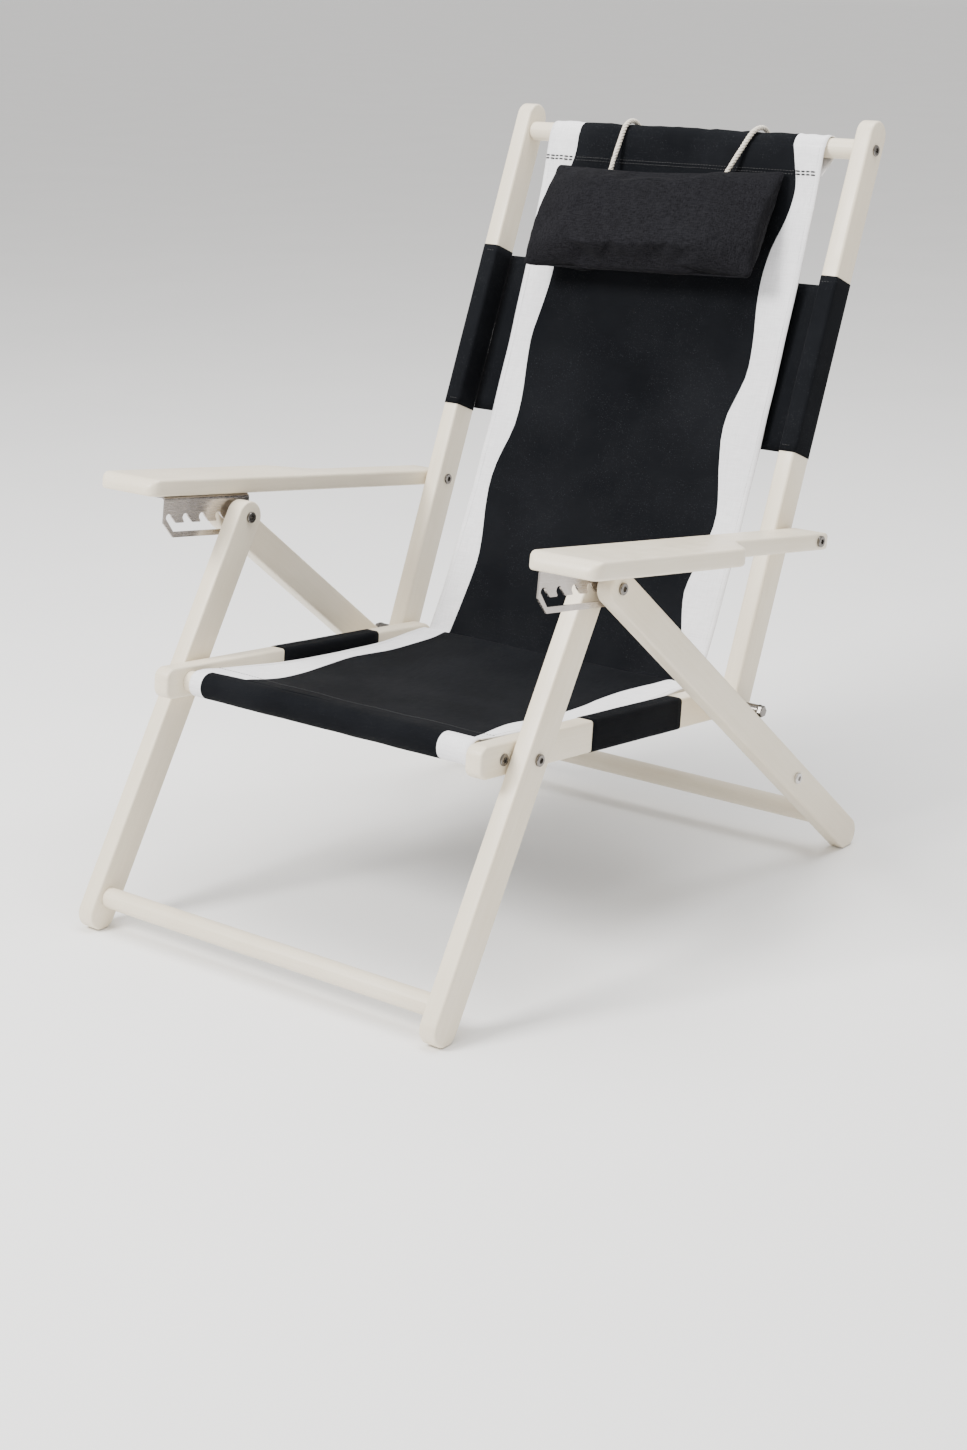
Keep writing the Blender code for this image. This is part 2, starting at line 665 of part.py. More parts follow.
def rail_sleeve(name, section, x_faces, cloth):
    """Flat tube of cloth round a rail.  The section is (start, end, up, half height) in Y-Z."""
    wall = GAP + SLEEVE_CLOTH
    start, end, up, half = section
    run = (end - start).normalized() * DRILL_CLEARANCE
    rise = up * (half + wall)
    outer = [start - rise, end - rise, end + rise, start + rise]
    rise = up * (half + GAP)
    inner = [start - run - rise, end + run - rise, end + run + rise, start - run + rise]
    sleeve = prism(name, outer, x_faces[0] - wall, x_faces[1] + wall, cloth)
    boolean(sleeve, prism("rail", inner, x_faces[0] - GAP, x_faces[1] + GAP, cloth))
    return pair(sleeve)


def back_sleeves(cloth):
    start, end = back_point(BACK_SLEEVE_SPAN[0], 0.0), back_point(BACK_SLEEVE_SPAN[1], 0.0)
    return rail_sleeve("back_sleeve", (start, end, BACK_FRONT, BACK_RAIL_HALF), BACK_RAIL_X, cloth)


def seat_sleeves(cloth):
    start = SEAT_PIVOT + SEAT_DIR * SEAT_SLEEVE_SPAN[0]
    end = SEAT_PIVOT + SEAT_DIR * SEAT_SLEEVE_SPAN[1]
    return rail_sleeve("seat_sleeve", (start, end, SEAT_UP, SEAT_RAIL_HALF), SEAT_RAIL_X, cloth)


def back_pouch(cloth):
    """Flat pouch hung between the back sleeves, behind the sling."""
    top, bottom = BACK_SLEEVE_SPAN
    front = -BACK_RAIL_HALF + 0.004
    rear = front - POUCH_DEPTH
    corners = [(top, front), (top, rear), (bottom, rear), (bottom, front)]
    outline = [back_point(*corner) for corner in corners]
    reach = BACK_RAIL_X[0] - GAP - SLEEVE_CLOTH - GAP
    return prism("back_pouch", outline, -reach, reach, cloth)


def seat_band(cloth):
    """Support band between the seat sleeves, under the sling."""
    low = -SEAT_RAIL_HALF + 0.001
    high = low + 0.003
    near, far = SEAT_SLEEVE_SPAN
    outline = []
    for along, up in ((near, low), (far, low), (far, high), (near, high)):
        outline.append(SEAT_PIVOT + SEAT_DIR * along + SEAT_UP * up)
    reach = SEAT_RAIL_X[0] - GAP - SLEEVE_CLOTH - GAP
    return prism("seat_band", outline, -reach, reach, cloth)


def grid_rim(grid):
    """The vertices round the edge of a grid, in order."""
    right = [row[-1] for row in grid[:-1]]
    left = [row[0] for row in grid[:0:-1]]
    return grid[0][:-1] + right + grid[-1][:0:-1] + left


def pillow(cloth):
    """Crowned cushion with thin edges, flat at the back where it rests on the sling."""
    across, down = 14, 8
    middle = PILLOW_BACK_H + PILLOW_THICKNESS / 2.0
    shape = bmesh.new()

    def vertex(i, j, side):
        u, v = 2.0 * i / across - 1.0, 2.0 * j / down - 1.0
        crown = ((1.0 - u ** 4) * (1.0 - v ** 4)) ** 0.5
        x = PILLOW_CENTRE_X + u * PILLOW_HALF_WIDTH * (1.0 - PILLOW_SIDE_PULL * (1.0 - v * v))
        pull = PILLOW_TOP_PULL if v < 0.0 else 0.0
        drop = PILLOW_DOWN + v * PILLOW_HALF_HEIGHT * (1.0 - pull * (1.0 - u * u))
        drop -= PILLOW_TILT * (x - PILLOW_CENTRE_X)
        half = 0.003 + (PILLOW_THICKNESS / 2.0 - 0.003) * crown
        seam = middle + PILLOW_LEAN * v
        flat_back = PILLOW_BACK_H - PILLOW_BACK_SLOPE * v
        y, z = back_point(drop, max(seam + side * half, flat_back))
        return shape.verts.new((x, y, z))

    front = [[vertex(i, j, 1.0) for i in range(across + 1)] for j in range(down + 1)]
    back = [[vertex(i, j, -1.0) for i in range(across + 1)] for j in range(down + 1)]
    for grid in (front, back):
        for j in range(down):
            for i in range(across):
                shape.faces.new((grid[j][i], grid[j][i + 1], grid[j + 1][i + 1], grid[j + 1][i]))
    rim_front, rim_back = grid_rim(front), grid_rim(back)
    count = len(rim_front)
    for k in range(count):
        following = (k + 1) % count
        shape.faces.new((rim_front[k], rim_front[following], rim_back[following], rim_back[k]))
    item = add_object("pillow", mesh_from_bmesh("pillow", shape), cloth)
    item.data.shade_smooth()
    return item


def rope_points(top_x, foot_x, foot_down):
    """Rope from the pillow's top seam, over the dowel, down to the hem's seam behind the sling."""
    foot = [(foot_down, 0.0225), (0.0300, 0.0216), (0.0150, 0.0204)]
    turn = [(-math.sin(a) * ROPE_REACH, math.cos(a) * ROPE_REACH)
            for a in [math.radians(30.0 * step) for step in range(7)]]
    tail = [(0.0100, -0.0176), (0.0200, -0.0105), (0.0300, -0.0037), (0.0400, 0.0028)]
    points = []
    for down, forward in foot + turn + tail:
        share = (down + ROPE_REACH) / (foot_down + ROPE_REACH) if forward > 0.0 else 0.0
        y, z = back_point(down, forward)
        points.append(Vector((top_x + (foot_x - top_x) * share, y, z)))
    return points


def rope(name, places, fibre):
    curve = bpy.data.curves.new(name, "CURVE")
    curve.dimensions = "3D"
    curve.bevel_depth = ROPE_RADIUS
    curve.bevel_resolution = 2
    curve.use_fill_caps = True
    spline = curve.splines.new("POLY")
    points = smooth_path(rope_points(*places), 2)
    spline.points.add(len(points) - 1)
    for slot, point in zip(spline.points, points):
        slot.co = (*point, 1.0)
    item = bpy.data.objects.new(name, curve)
    bpy.context.scene.collection.objects.link(item)
    curve.materials.append(fibre)
    return item


# ---------------------------------------------------------------- assembly
def hang_on_axis(name, centre, pieces):
    """Parent the pieces of one moving body to an empty on its joint axis."""
    pivot = bpy.data.objects.new(name, None)
    pivot.location = (0.0, centre.x, centre.y)
    bpy.context.scene.collection.objects.link(pivot)
    inverse = Matrix.Translation(pivot.location).inverted()
    for piece in pieces:
        piece.parent = pivot
        piece.matrix_parent_inverse = inverse


def build():
    clear_scene()
    wood = make_material("painted_wood", (0.78, 0.75, 0.69), 0.42)
    steel = make_material("stainless_steel", (0.62, 0.60, 0.58), 0.28, 1.0)
    black = make_material("black_canvas", (0.012, 0.014, 0.016), 0.85)
    grey = make_material("charcoal_linen", (0.030, 0.030, 0.034), 0.90)
    fibre = make_material("cotton_rope", (0.74, 0.70, 0.62), 0.85)
    apex_bolts = apex_pins(steel)
    front_legs(wood)
    socketed_dowel("front_stretcher", FRONT_STRETCHER, FRONT_LEG_X[0], wood)
    seat_pivot_bolts(steel)
    rear = rear_legs(wood) + [socketed_dowel("rear_stretcher", REAR_STRETCHER, REAR_LEG_X[0], wood)]
    rear += apex_bolts + stop_bolts(steel)
    reach = SEAT_RAIL_X[0] - GAP
    seat = seat_rails(wood)
    seat += [screwed_dowel("seat_front_dowel", FRONT_DOWEL, FRONT_DOWEL_RADIUS, reach, SCREW_RADIUS, wood)]
    seat += [screwed_dowel("seat_rear_dowel", BACK_PIVOT, REAR_DOWEL_RADIUS, reach, SHANK_RADIUS, wood)]
    seat += dowel_screws("front_dowel_screw", FRONT_DOWEL, SEAT_RAIL_X[1], SEAT_RAIL_X[0], steel)
    seat += [seat_sling(black), seat_band(black)] + seat_sleeves(black)
    pivot = back_pivot_bolts(steel) + back_pivot_sleeves(steel)
    back = back_rails(wood)
    top_reach = BACK_RAIL_X[0] - GAP
    back += [screwed_dowel("top_dowel", TOP_DOWEL, TOP_DOWEL_RADIUS, top_reach, SCREW_RADIUS, wood)]
    back += dowel_screws("top_dowel_screw", TOP_DOWEL, BACK_RAIL_X[1], BACK_RAIL_X[0], steel)
    back += [back_sling(black), back_pouch(black)] + back_sleeves(black)
    back += [pillow(grey)]
    back += [rope("pillow_rope_left", LEFT_ROPE, fibre), rope("pillow_rope_right", RIGHT_ROPE, fibre)]
    hang_on_axis("rear_frame_axis", APEX, rear)
    hang_on_axis("seat_frame_axis", SEAT_PIVOT, seat)
    hang_on_axis("back_pivot_axis", BACK_PIVOT, pivot)
    hang_on_axis("back_frame_axis", BACK_PIVOT, back)
    hang_on_axis("arm_pivot_axis", ARM_PIVOT, arm_pivot_bolts(steel))
    hang_on_axis("arms_axis", ARM_PIVOT, arms(wood) + brackets(steel) + bracket_screws(steel))


build()
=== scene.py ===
"""Looks of a folding beach chair: painted rails, canvas sling, linen pillow, twisted ropes."""
import math

import bmesh
import bpy
import numpy as np
from mathutils import Matrix, Vector, noise


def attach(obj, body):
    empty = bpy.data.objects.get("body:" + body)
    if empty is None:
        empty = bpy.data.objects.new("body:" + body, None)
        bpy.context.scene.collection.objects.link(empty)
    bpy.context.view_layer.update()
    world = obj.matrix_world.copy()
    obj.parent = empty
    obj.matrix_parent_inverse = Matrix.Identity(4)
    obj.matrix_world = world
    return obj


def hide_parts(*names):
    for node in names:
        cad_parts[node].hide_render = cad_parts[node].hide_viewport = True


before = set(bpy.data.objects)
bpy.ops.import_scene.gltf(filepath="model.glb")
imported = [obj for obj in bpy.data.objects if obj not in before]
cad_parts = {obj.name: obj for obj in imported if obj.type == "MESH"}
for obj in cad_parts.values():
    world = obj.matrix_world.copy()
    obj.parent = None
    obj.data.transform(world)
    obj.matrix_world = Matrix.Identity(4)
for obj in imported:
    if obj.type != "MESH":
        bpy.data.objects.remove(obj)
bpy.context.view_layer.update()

# ---- the chair's own geometry (metres)
APEX_TO_SEAT_PIVOT = 0.1941
SEAT_PIVOT_TO_BACK_PIVOT = 0.3852
SEAT_PIVOT_TO_FRONT_DOWEL = 0.0274
BACK_PIVOT_TO_ARM_PIVOT = 0.2033
APEX_TO_FRONT_FOOT = 0.4817
APEX_TO_REAR_FOOT = 0.6320
SEAT_ANGLE, ARM_ANGLE = -5.85, -8.30
FRONT_LEG_ANGLE, REAR_LEG_ANGLE = -121.86, -40.39
SEAT_RAIL_X = (0.2130, 0.2350)
FRONT_LEG_X = (0.23745, 0.25945)
BACK_RAIL_X = (0.23745, 0.25945)
REAR_LEG_X = (0.2695, 0.2895)
ARM_X = (0.2620, 0.3510)
ARM_TAIL_OUTER_X = 0.3090
FRONT_LEG_HALF, REAR_LEG_HALF = 0.01865, 0.0193
SEAT_RAIL_HALF, BACK_RAIL_HALF = 0.0175, 0.0178
ARM_UNDERSIDE_N, ARM_TOP_N = 0.0243, 0.0437
ARM_FRONT_S, ARM_REAR_S = -0.1370, 0.3820
ARM_STEP_S = (0.1280, 0.1900)
NOTCH_COUNT, NOTCH_PITCH, NOTCH_RADIUS = 5, 0.0265, 0.0043
SLING_HALF_WIDTH = 0.2010
BACK_SLEEVE_SPAN = (0.1580, 0.3680)
SEAT_SLEEVE_SPAN = (0.1270, 0.2970)


def direction(angle):
    return Vector((math.cos(math.radians(angle)), math.sin(math.radians(angle))))


def left_normal(v):
    return Vector((-v.y, v.x))


APEX = Vector((-0.1478, 0.4271))
TOP_DOWEL = Vector((0.3960, 0.8344))
SEAT_DIR = direction(SEAT_ANGLE)
SEAT_UP = left_normal(SEAT_DIR)
ARM_DIR = direction(ARM_ANGLE)
ARM_UP = left_normal(ARM_DIR)
SEAT_PIVOT = APEX + direction(FRONT_LEG_ANGLE) * APEX_TO_SEAT_PIVOT
FRONT_FOOT = APEX + direction(FRONT_LEG_ANGLE) * APEX_TO_FRONT_FOOT
REAR_FOOT = APEX + direction(REAR_LEG_ANGLE) * APEX_TO_REAR_FOOT
BACK_PIVOT = SEAT_PIVOT + SEAT_DIR * SEAT_PIVOT_TO_BACK_PIVOT
FRONT_DOWEL = SEAT_PIVOT - SEAT_DIR * SEAT_PIVOT_TO_FRONT_DOWEL
BACK_DIR = (TOP_DOWEL - BACK_PIVOT).normalized()
BACK_FRONT = left_normal(BACK_DIR)
BACK_ANGLE = math.degrees(math.atan2(BACK_DIR.y, BACK_DIR.x))
ARM_PIVOT = BACK_PIVOT + BACK_DIR * BACK_PIVOT_TO_ARM_PIVOT


def arm_point(s, n):
    return APEX + ARM_DIR * s + ARM_UP * n


def in_space(point, x=0.0):
    """A Y-Z point or direction as a 3-D vector."""
    return Vector((x, point.x, point.y))


def back_point(down, forward):
    return TOP_DOWEL - BACK_DIR * down + BACK_FRONT * forward


def seat_point(rearward, up):
    return FRONT_DOWEL + SEAT_DIR * rearward + SEAT_UP * up


def arc(centre, radius, start, end, steps):
    points = []
    for step in range(steps + 1):
        angle = math.radians(start + (end - start) * step / steps)
        points.append(Vector(centre) + Vector((math.cos(angle), math.sin(angle))) * radius)
    return points


def smooth_path(points, per_span):
    """Catmull-Rom curve through 2-D or 3-D points."""
    points = [Vector(p) for p in points]
    path = []
    for index in range(len(points) - 1):
        p0 = points[max(index - 1, 0)]
        p1, p2 = points[index], points[index + 1]
        p3 = points[min(index + 2, len(points) - 1)]
        for step in range(per_span):
            t = step / per_span
            a = p1 * 2.0
            b = (p2 - p0) * t
            c = (p0 * 2.0 - p1 * 5.0 + p2 * 4.0 - p3) * t * t
            d = (p1 * 3.0 - p0 - p2 * 3.0 + p3) * t ** 3
            path.append((a + b + c + d) * 0.5)
    path.append(points[-1])
    return path


def curve_at(table, x):
    """Smooth value at x from a table of (x, value)."""
    xs = [row[0] for row in table]
    ys = [row[1] for row in table]
    if x <= xs[0]:
        return ys[0]
    if x >= xs[-1]:
        return ys[-1]
    i = max(k for k in range(len(xs) - 1) if xs[k] <= x)
    t = (x - xs[i]) / (xs[i + 1] - xs[i])
    slope = [0.0, 0.0]
    for k, j in enumerate((i, i + 1)):
        lo, hi = max(j - 1, 0), min(j + 1, len(xs) - 1)
        slope[k] = (ys[hi] - ys[lo]) / (xs[hi] - xs[lo]) * (xs[i + 1] - xs[i])
    a = (2 * t ** 3 - 3 * t ** 2 + 1) * ys[i] + (t ** 3 - 2 * t ** 2 + t) * slope[0]
    return a + (3 * t ** 2 - 2 * t ** 3) * ys[i + 1] + (t ** 3 - t ** 2) * slope[1]


# ---- camera, lights and floor
CAMERA_RIGHT = (0.784014, 0.620732, -0.003876)
CAMERA_UP = (-0.152691, 0.198901, 0.968052)
CAMERA_AHEAD = (-0.601671, 0.758374, -0.250721)
CAMERA_PLACE = (1.71789, -2.17716, 1.08765)
CAMERA_LENS, CAMERA_SENSOR = 61.77, 36.0
CAMERA_SHIFT = (-0.0006, -0.1058)
FLOOR_DROP = 0.0006                      # keeps the feet from sharing a plane with the floor


def camera():
    data = bpy.data.cameras.new("camera")
    data.lens = CAMERA_LENS
    data.sensor_width = CAMERA_SENSOR
    data.shift_x, data.shift_y = CAMERA_SHIFT
    data.clip_start, data.clip_end = 0.05, 100.0
    item = bpy.data.objects.new("camera", data)
    bpy.context.scene.collection.objects.link(item)
    right, up, ahead = Vector(CAMERA_RIGHT), Vector(CAMERA_UP), Vector(CAMERA_AHEAD)
    turn = Matrix((right, up, -ahead)).transposed().to_4x4()
    item.matrix_world = Matrix.Translation(CAMERA_PLACE) @ turn
    bpy.context.scene.camera = item


def area_light(name, place, aim, size, power, colour=(1.0, 1.0, 1.0)):
    data = bpy.data.lights.new(name, "AREA")
    data.shape = "RECTANGLE"
    data.size, data.size_y = size
    data.energy = power
    data.color = colour
    item = bpy.data.objects.new(name, data)
    item.location = place
    item.rotation_mode = "QUATERNION"
    item.rotation_quaternion = (Vector(aim) - Vector(place)).to_track_quat("-Z", "Y")
    bpy.context.scene.collection.objects.link(item)


def studio():
    world = bpy.data.worlds.new("studio")
    world.use_nodes = True
    backdrop = world.node_tree.nodes["Background"].inputs
    backdrop["Color"].default_value = (1.0, 0.985, 0.965, 1.0)
    backdrop["Strength"].default_value = 0.84
    bpy.context.scene.world = world
    area_light("key", (-1.3, -2.9, 3.0), (0.0, 0.0, 0.4), (1.4, 1.4), 230.0, (1.0, 0.985, 0.96))
    area_light("top", (0.2, 0.3, 3.4), (0.0, 0.0, 0.3), (2.4, 2.4), 120.0)
    mesh = bpy.data.meshes.new("floor")
    reach = 30.0
    corners = [(-reach, -reach, 0), (reach, -reach, 0), (reach, reach, 0), (-reach, reach, 0)]
    mesh.from_pydata(corners, [], [(0, 1, 2, 3)])
    floor = bpy.data.objects.new("floor", mesh)
    floor.location.z = -FLOOR_DROP
    bpy.context.scene.collection.objects.link(floor)
    mesh.materials.append(floor_material())


# ---- node materials
class Shader:
    """A node material under construction."""

    def __init__(self, name):
        self.material = bpy.data.materials.new(name)
        self.material.use_nodes = True
        self.tree = self.material.node_tree
        self.surface = self.tree.nodes["Principled BSDF"]

    def add(self, kind, inputs=None, **settings):
        made = self.tree.nodes.new(kind)
        for key, value in settings.items():
            setattr(made, key, value)
        for key, value in (inputs or {}).items():
            if isinstance(value, bpy.types.NodeSocket):
                self.tree.links.new(value, made.inputs[key])
            else:
                made.inputs[key].default_value = value
        return made

    def set(self, name, value):
        if isinstance(value, bpy.types.NodeSocket):
            self.tree.links.new(value, self.surface.inputs[name])
        else:
            self.surface.inputs[name].default_value = value

    def place(self, angle=0.0, scale=(1.0, 1.0, 1.0)):
        """Object coordinates turned so that Y runs along a direction in the Y-Z plane."""
        where = self.add("ShaderNodeTexCoord").outputs["Object"]
        turn = (math.radians(-angle), 0.0, 0.0)
        turned = self.add("ShaderNodeMapping", {"Vector": where, "Rotation": turn})
        return self.add("ShaderNodeMapping", {"Vector": turned.outputs[0], "Scale": scale}).outputs[0]

    def noise(self, where, scale, detail=2.0, roughness=0.5):
        made = self.add("ShaderNodeTexNoise", {"Vector": where, "Scale": scale, "Detail": detail,
                                               "Roughness": roughness})
        return made.outputs["Fac"]

    def wave(self, where, period, axis, distortion=0.0):
        made = self.add("ShaderNodeTexWave", {"Vector": where, "Scale": math.tau / (20.0 * period),
                                              "Distortion": distortion}, bands_direction=axis)
        return made.outputs["Fac"]

    def math(self, kind, a, b):
        return self.add("ShaderNodeMath", {0: a, 1: b}, operation=kind).outputs[0]

    def ramp(self, value, low, high, lows, highs):
        """Colours from lows to highs as the value goes from low to high."""
        made = self.add("ShaderNodeMapRange", {"Value": value, "From Min": low, "From Max": high})
        mix = self.add("ShaderNodeMix", {"Factor": made.outputs[0]}, data_type="RGBA")
        mix.inputs[6].default_value = (*lows, 1.0)
        mix.inputs[7].default_value = (*highs, 1.0)
        return mix.outputs[2]

    def level(self, value, low, high, start, end):
        made = self.add("ShaderNodeMapRange", {"Value": value, "From Min": low, "From Max": high,
                                               "To Min": start, "To Max": end})
        return made.outputs[0]

    def blend(self, a, b, factor, kind="MULTIPLY"):
        mix = self.add("ShaderNodeMix", data_type="RGBA", blend_type=kind)
        for index, value in ((0, factor), (6, a), (7, b)):
            if isinstance(value, bpy.types.NodeSocket):
                self.tree.links.new(value, mix.inputs[index])
            else:
                mix.inputs[index].default_value = value
        return mix.outputs[2]

    def bump(self, height, distance, strength=1.0, under=None):
        made = self.add("ShaderNodeBump", {"Height": height, "Distance": distance, "Strength": strength})
        if under is not None:
            self.tree.links.new(under, made.inputs["Normal"])
        return made.outputs[0]


PAINT_DARK, PAINT_LIGHT = (0.785, 0.698, 0.548), (0.850, 0.772, 0.625)
PAINT_STREAK = (0.955, 0.945, 0.925)
GRAIN_SCALE, GRAIN_DEPTH = 260.0, 0.00030


def paint(s, grain, patch):
    """Off-white paint, a little streaked where the grain shows through."""
    colour = s.ramp(patch, 0.30, 0.70, PAINT_DARK, PAINT_LIGHT)
    streak = s.ramp(grain, 0.32, 0.62, PAINT_STREAK, (1.0, 1.0, 1.0))
    s.set("Base Color", s.blend(colour, streak, 0.8))
    s.set("Coat Weight", 0.12)
    s.set("Coat Roughness", 0.25)


def wood(number, angle):
    """Satin paint over timber whose grain runs at an angle in the Y-Z plane."""
    s = Shader("painted_wood_%d" % number)
    where = s.place(angle)
    grain = s.noise(s.place(angle, (1.0, 0.045, 1.0)), GRAIN_SCALE, 4.0, 0.6)
    brush = s.noise(s.place(angle, (1.0, 0.10, 1.0)), 900.0, 2.0)
    paint(s, grain, s.noise(where, 7.0, 3.0))
    s.set("Roughness", s.level(s.noise(where, 45.0, 3.0), 0.3, 0.7, 0.34, 0.47))
    s.set("Normal", s.bump(brush, 0.00010, 0.5, s.bump(grain, GRAIN_DEPTH, 0.55)))
    return s.material


def dowel_wood():
    """The same paint on round bars that run across the chair."""
    s = Shader("painted_dowel")
    grain = s.noise(s.place(0.0, (0.045, 1.0, 1.0)), GRAIN_SCALE, 4.0, 0.6)
    patch = s.noise(s.place(), 7.0, 3.0)
    paint(s, grain, patch)
    s.set("Roughness", s.level(patch, 0.3, 0.7, 0.36, 0.47))
    s.set("Normal", s.bump(grain, GRAIN_DEPTH, 0.55))
    return s.material


def steel_material(name, colour, rough):
    s = Shader(name)
    brushed = s.noise(s.place(ARM_ANGLE, (1.0, 0.05, 1.0)), 1500.0, 3.0)
    cloud = s.noise(s.place(), 60.0, 3.0)
    s.set("Base Color", s.ramp(cloud, 0.3, 0.7, tuple(0.86 * c for c in colour), colour))
    s.set("Metallic", 1.0)
    s.set("Roughness", s.level(brushed, 0.3, 0.7, rough - 0.08, rough + 0.10))
    s.set("Normal", s.bump(brushed, 0.00005, 0.5))
    return s.material


LINT = (0.055, 0.058, 0.064)


def canvas(name, dark, light, angle, flecks=0.0):
    """Plain-woven canvas whose threads run along and across a direction in the Y-Z plane."""
    s = Shader(name)
    where = s.place(angle)
    warp = s.wave(where, 0.00105, "X", 0.8)
    weft = s.wave(where, 0.00115, "Y", 0.8)
    slub = s.noise(s.place(angle, (1.0, 0.08, 1.0)), 700.0, 3.0)
    slub2 = s.noise(s.place(angle, (0.08, 1.0, 1.0)), 700.0, 3.0)
    patch = s.noise(where, 9.0, 4.0, 0.55)
    weave = s.math("MULTIPLY", s.math("ADD", warp, weft), 0.5)
    colour = s.ramp(patch, 0.28, 0.72, dark, light)
    threads = s.ramp(s.math("MULTIPLY", s.math("ADD", slub, slub2), 0.5), 0.35, 0.65,
                     (0.86, 0.86, 0.86), (1.06, 1.06, 1.06))
    colour = s.blend(colour, threads, 0.75)
    if flecks:
        lint = s.noise(where, 950.0, 1.0)
        area = s.noise(where, 14.0, 2.0)
        spots = s.math("MULTIPLY", s.math("GREATER_THAN", lint, 0.70), s.math("GREATER_THAN", area, 0.46))
        colour = s.blend(colour, (*LINT, 1.0), s.math("MULTIPLY", spots, flecks), "MIX")
    s.set("Base Color", colour)
    s.set("Roughness", s.level(slub, 0.3, 0.7, 0.78, 0.94))
    s.set("Sheen Weight", 0.01)
    s.set("Sheen Roughness", 0.45)
    s.set("Specular IOR Level", 0.04)
    s.set("Normal", s.bump(weave, 0.00022, 0.55, s.bump(patch, 0.0018, 0.30)))
    return s.material


def linen():
    """Slubby charcoal linen of the pillow."""
    s = Shader("charcoal_linen")
    where = s.place(BACK_ANGLE)
    across = s.noise(s.place(BACK_ANGLE, (0.10, 1.0, 1.0)), 1100.0, 3.0, 0.6)
    along = s.noise(s.place(BACK_ANGLE, (1.0, 0.10, 1.0)), 1100.0, 3.0, 0.6)
    weave = s.math("MULTIPLY", s.math("ADD", across, along), 0.5)
    cloud = s.noise(where, 26.0, 4.0)
    colour = s.ramp(weave, 0.38, 0.60, (0.0032, 0.0032, 0.0042), (0.0135, 0.0135, 0.0160))
    shade = s.ramp(cloud, 0.3, 0.7, (0.86, 0.86, 0.86), (1.10, 1.10, 1.10))
    s.set("Base Color", s.blend(colour, shade, 0.8))
    s.set("Roughness", s.level(cloud, 0.3, 0.7, 0.84, 0.95))
    s.set("Sheen Weight", 0.02)
    s.set("Sheen Roughness", 0.4)
    s.set("Specular IOR Level", 0.05)
    s.set("Normal", s.bump(weave, 0.00045, 0.75, s.bump(cloud, 0.0015, 0.4)))
    return s.material


def fibre(name, dark, light):
    s = Shader(name)
    where = s.place()
    hairs = s.noise(where, 1800.0, 3.0, 0.6)
    s.set("Base Color", s.ramp(hairs, 0.35, 0.65, dark, light))
    s.set("Roughness", s.level(hairs, 0.3, 0.7, 0.79, 0.93))
    s.set("Sheen Weight", 0.3)
    s.set("Normal", s.bump(hairs, 0.0002, 0.6))
    return s.material


def floor_material():
    s = Shader("studio_floor")
    speck = s.noise(s.place(), 3.0, 3.0)
    s.set("Base Color", s.ramp(speck, 0.3, 0.7, (0.97, 0.97, 0.97), (0.99, 0.99, 0.99)))
    s.set("Roughness", s.level(speck, 0.3, 0.7, 0.78, 0.86))
    s.set("Specular IOR Level", 0.1)
    return s.material


# ---- mesh helpers
def add(name, mesh, materials, body):
    item = bpy.data.objects.new(name, mesh)
    bpy.context.scene.collection.objects.link(item)
    for material in materials:
        mesh.materials.append(material)
    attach(item, body)
    return item


def finish_mesh(shape, name, angle=None):
    bmesh.ops.recalc_face_normals(shape, faces=shape.faces)
    mesh = bpy.data.meshes.new(name)
    shape.to_mesh(mesh)
    shape.free()
    mesh.shade_smooth()
    if angle is not None:
        mesh.set_sharp_from_angle(angle=math.radians(angle))
    return mesh


def solidify(item, thickness, offset=0.0):
    modifier = item.modifiers.new("cloth", "SOLIDIFY")
    modifier.thickness = thickness
    modifier.offset = offset
    modifier.use_even_offset = False
    freeze(item)


def freeze(item):
    graph = bpy.context.evaluated_depsgraph_get()
    mesh = bpy.data.meshes.new_from_object(item.evaluated_get(graph))
    item.modifiers.clear()
    item.data = mesh


def clip_ground(points):
    """Cut a Y-Z outline off level at the ground."""
    kept = []
    for index, point in enumerate(points):
        before = points[index - 1]
        if (before.y < 0.0) != (point.y < 0.0):
            share = before.y / (before.y - point.y)
            kept.append(before + (point - before) * share)
        if point.y >= 0.0:
            kept.append(point)
    return kept


def slab(outline, x0, x1, bevel, segments=4):
    """Prism of a Y-Z outline with rounded rims, as a bmesh."""
    shape = bmesh.new()
    ring = [shape.verts.new((x0, p[0], p[1])) for p in outline]
    swept = bmesh.ops.extrude_face_region(shape, geom=[shape.faces.new(ring)])
    verts = [part for part in swept["geom"] if isinstance(part, bmesh.types.BMVert)]
    bmesh.ops.translate(shape, verts=verts, vec=(x1 - x0, 0.0, 0.0))
    if bevel:
        rims = [edge for edge in shape.edges if abs(edge.verts[0].co.x - edge.verts[1].co.x) < 1e-7]
        bmesh.ops.bevel(shape, geom=rims, offset=bevel, segments=segments, profile=0.5, affect="EDGES",
                        clamp_overlap=True)
    return shape


def both_sides(name, node, make, material, body, angle=40.0):
    """Make a left piece and its mirror image; each replaces the CAD node of its side, where there is one."""
    for side, sign in (("left", 1.0), ("right", -1.0)):
        shape = make()
        if sign < 0.0:
            bmesh.ops.scale(shape, verts=shape.verts, vec=(-1.0, 1.0, 1.0))
            bmesh.ops.reverse_faces(shape, faces=shape.faces)
        item = add(name + "_" + side + "_look", finish_mesh(shape, name, angle), [material], body)
        if node:
            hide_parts(node + "_" + side)


def skin(shape, rings, closed=False):
    """Faces between rings of vertices, with end caps unless the run is closed."""
    pairs = list(zip(rings, rings[1:])) + ([(rings[-1], rings[0])] if closed else [])
    for a, b in pairs:
        for k in range(len(a)):
            m = (k + 1) % len(a)
            shape.faces.new((a[k], a[m], b[m], b[k]))
    if not closed:
        shape.faces.new(rings[0][::-1])
        shape.faces.new(rings[-1])


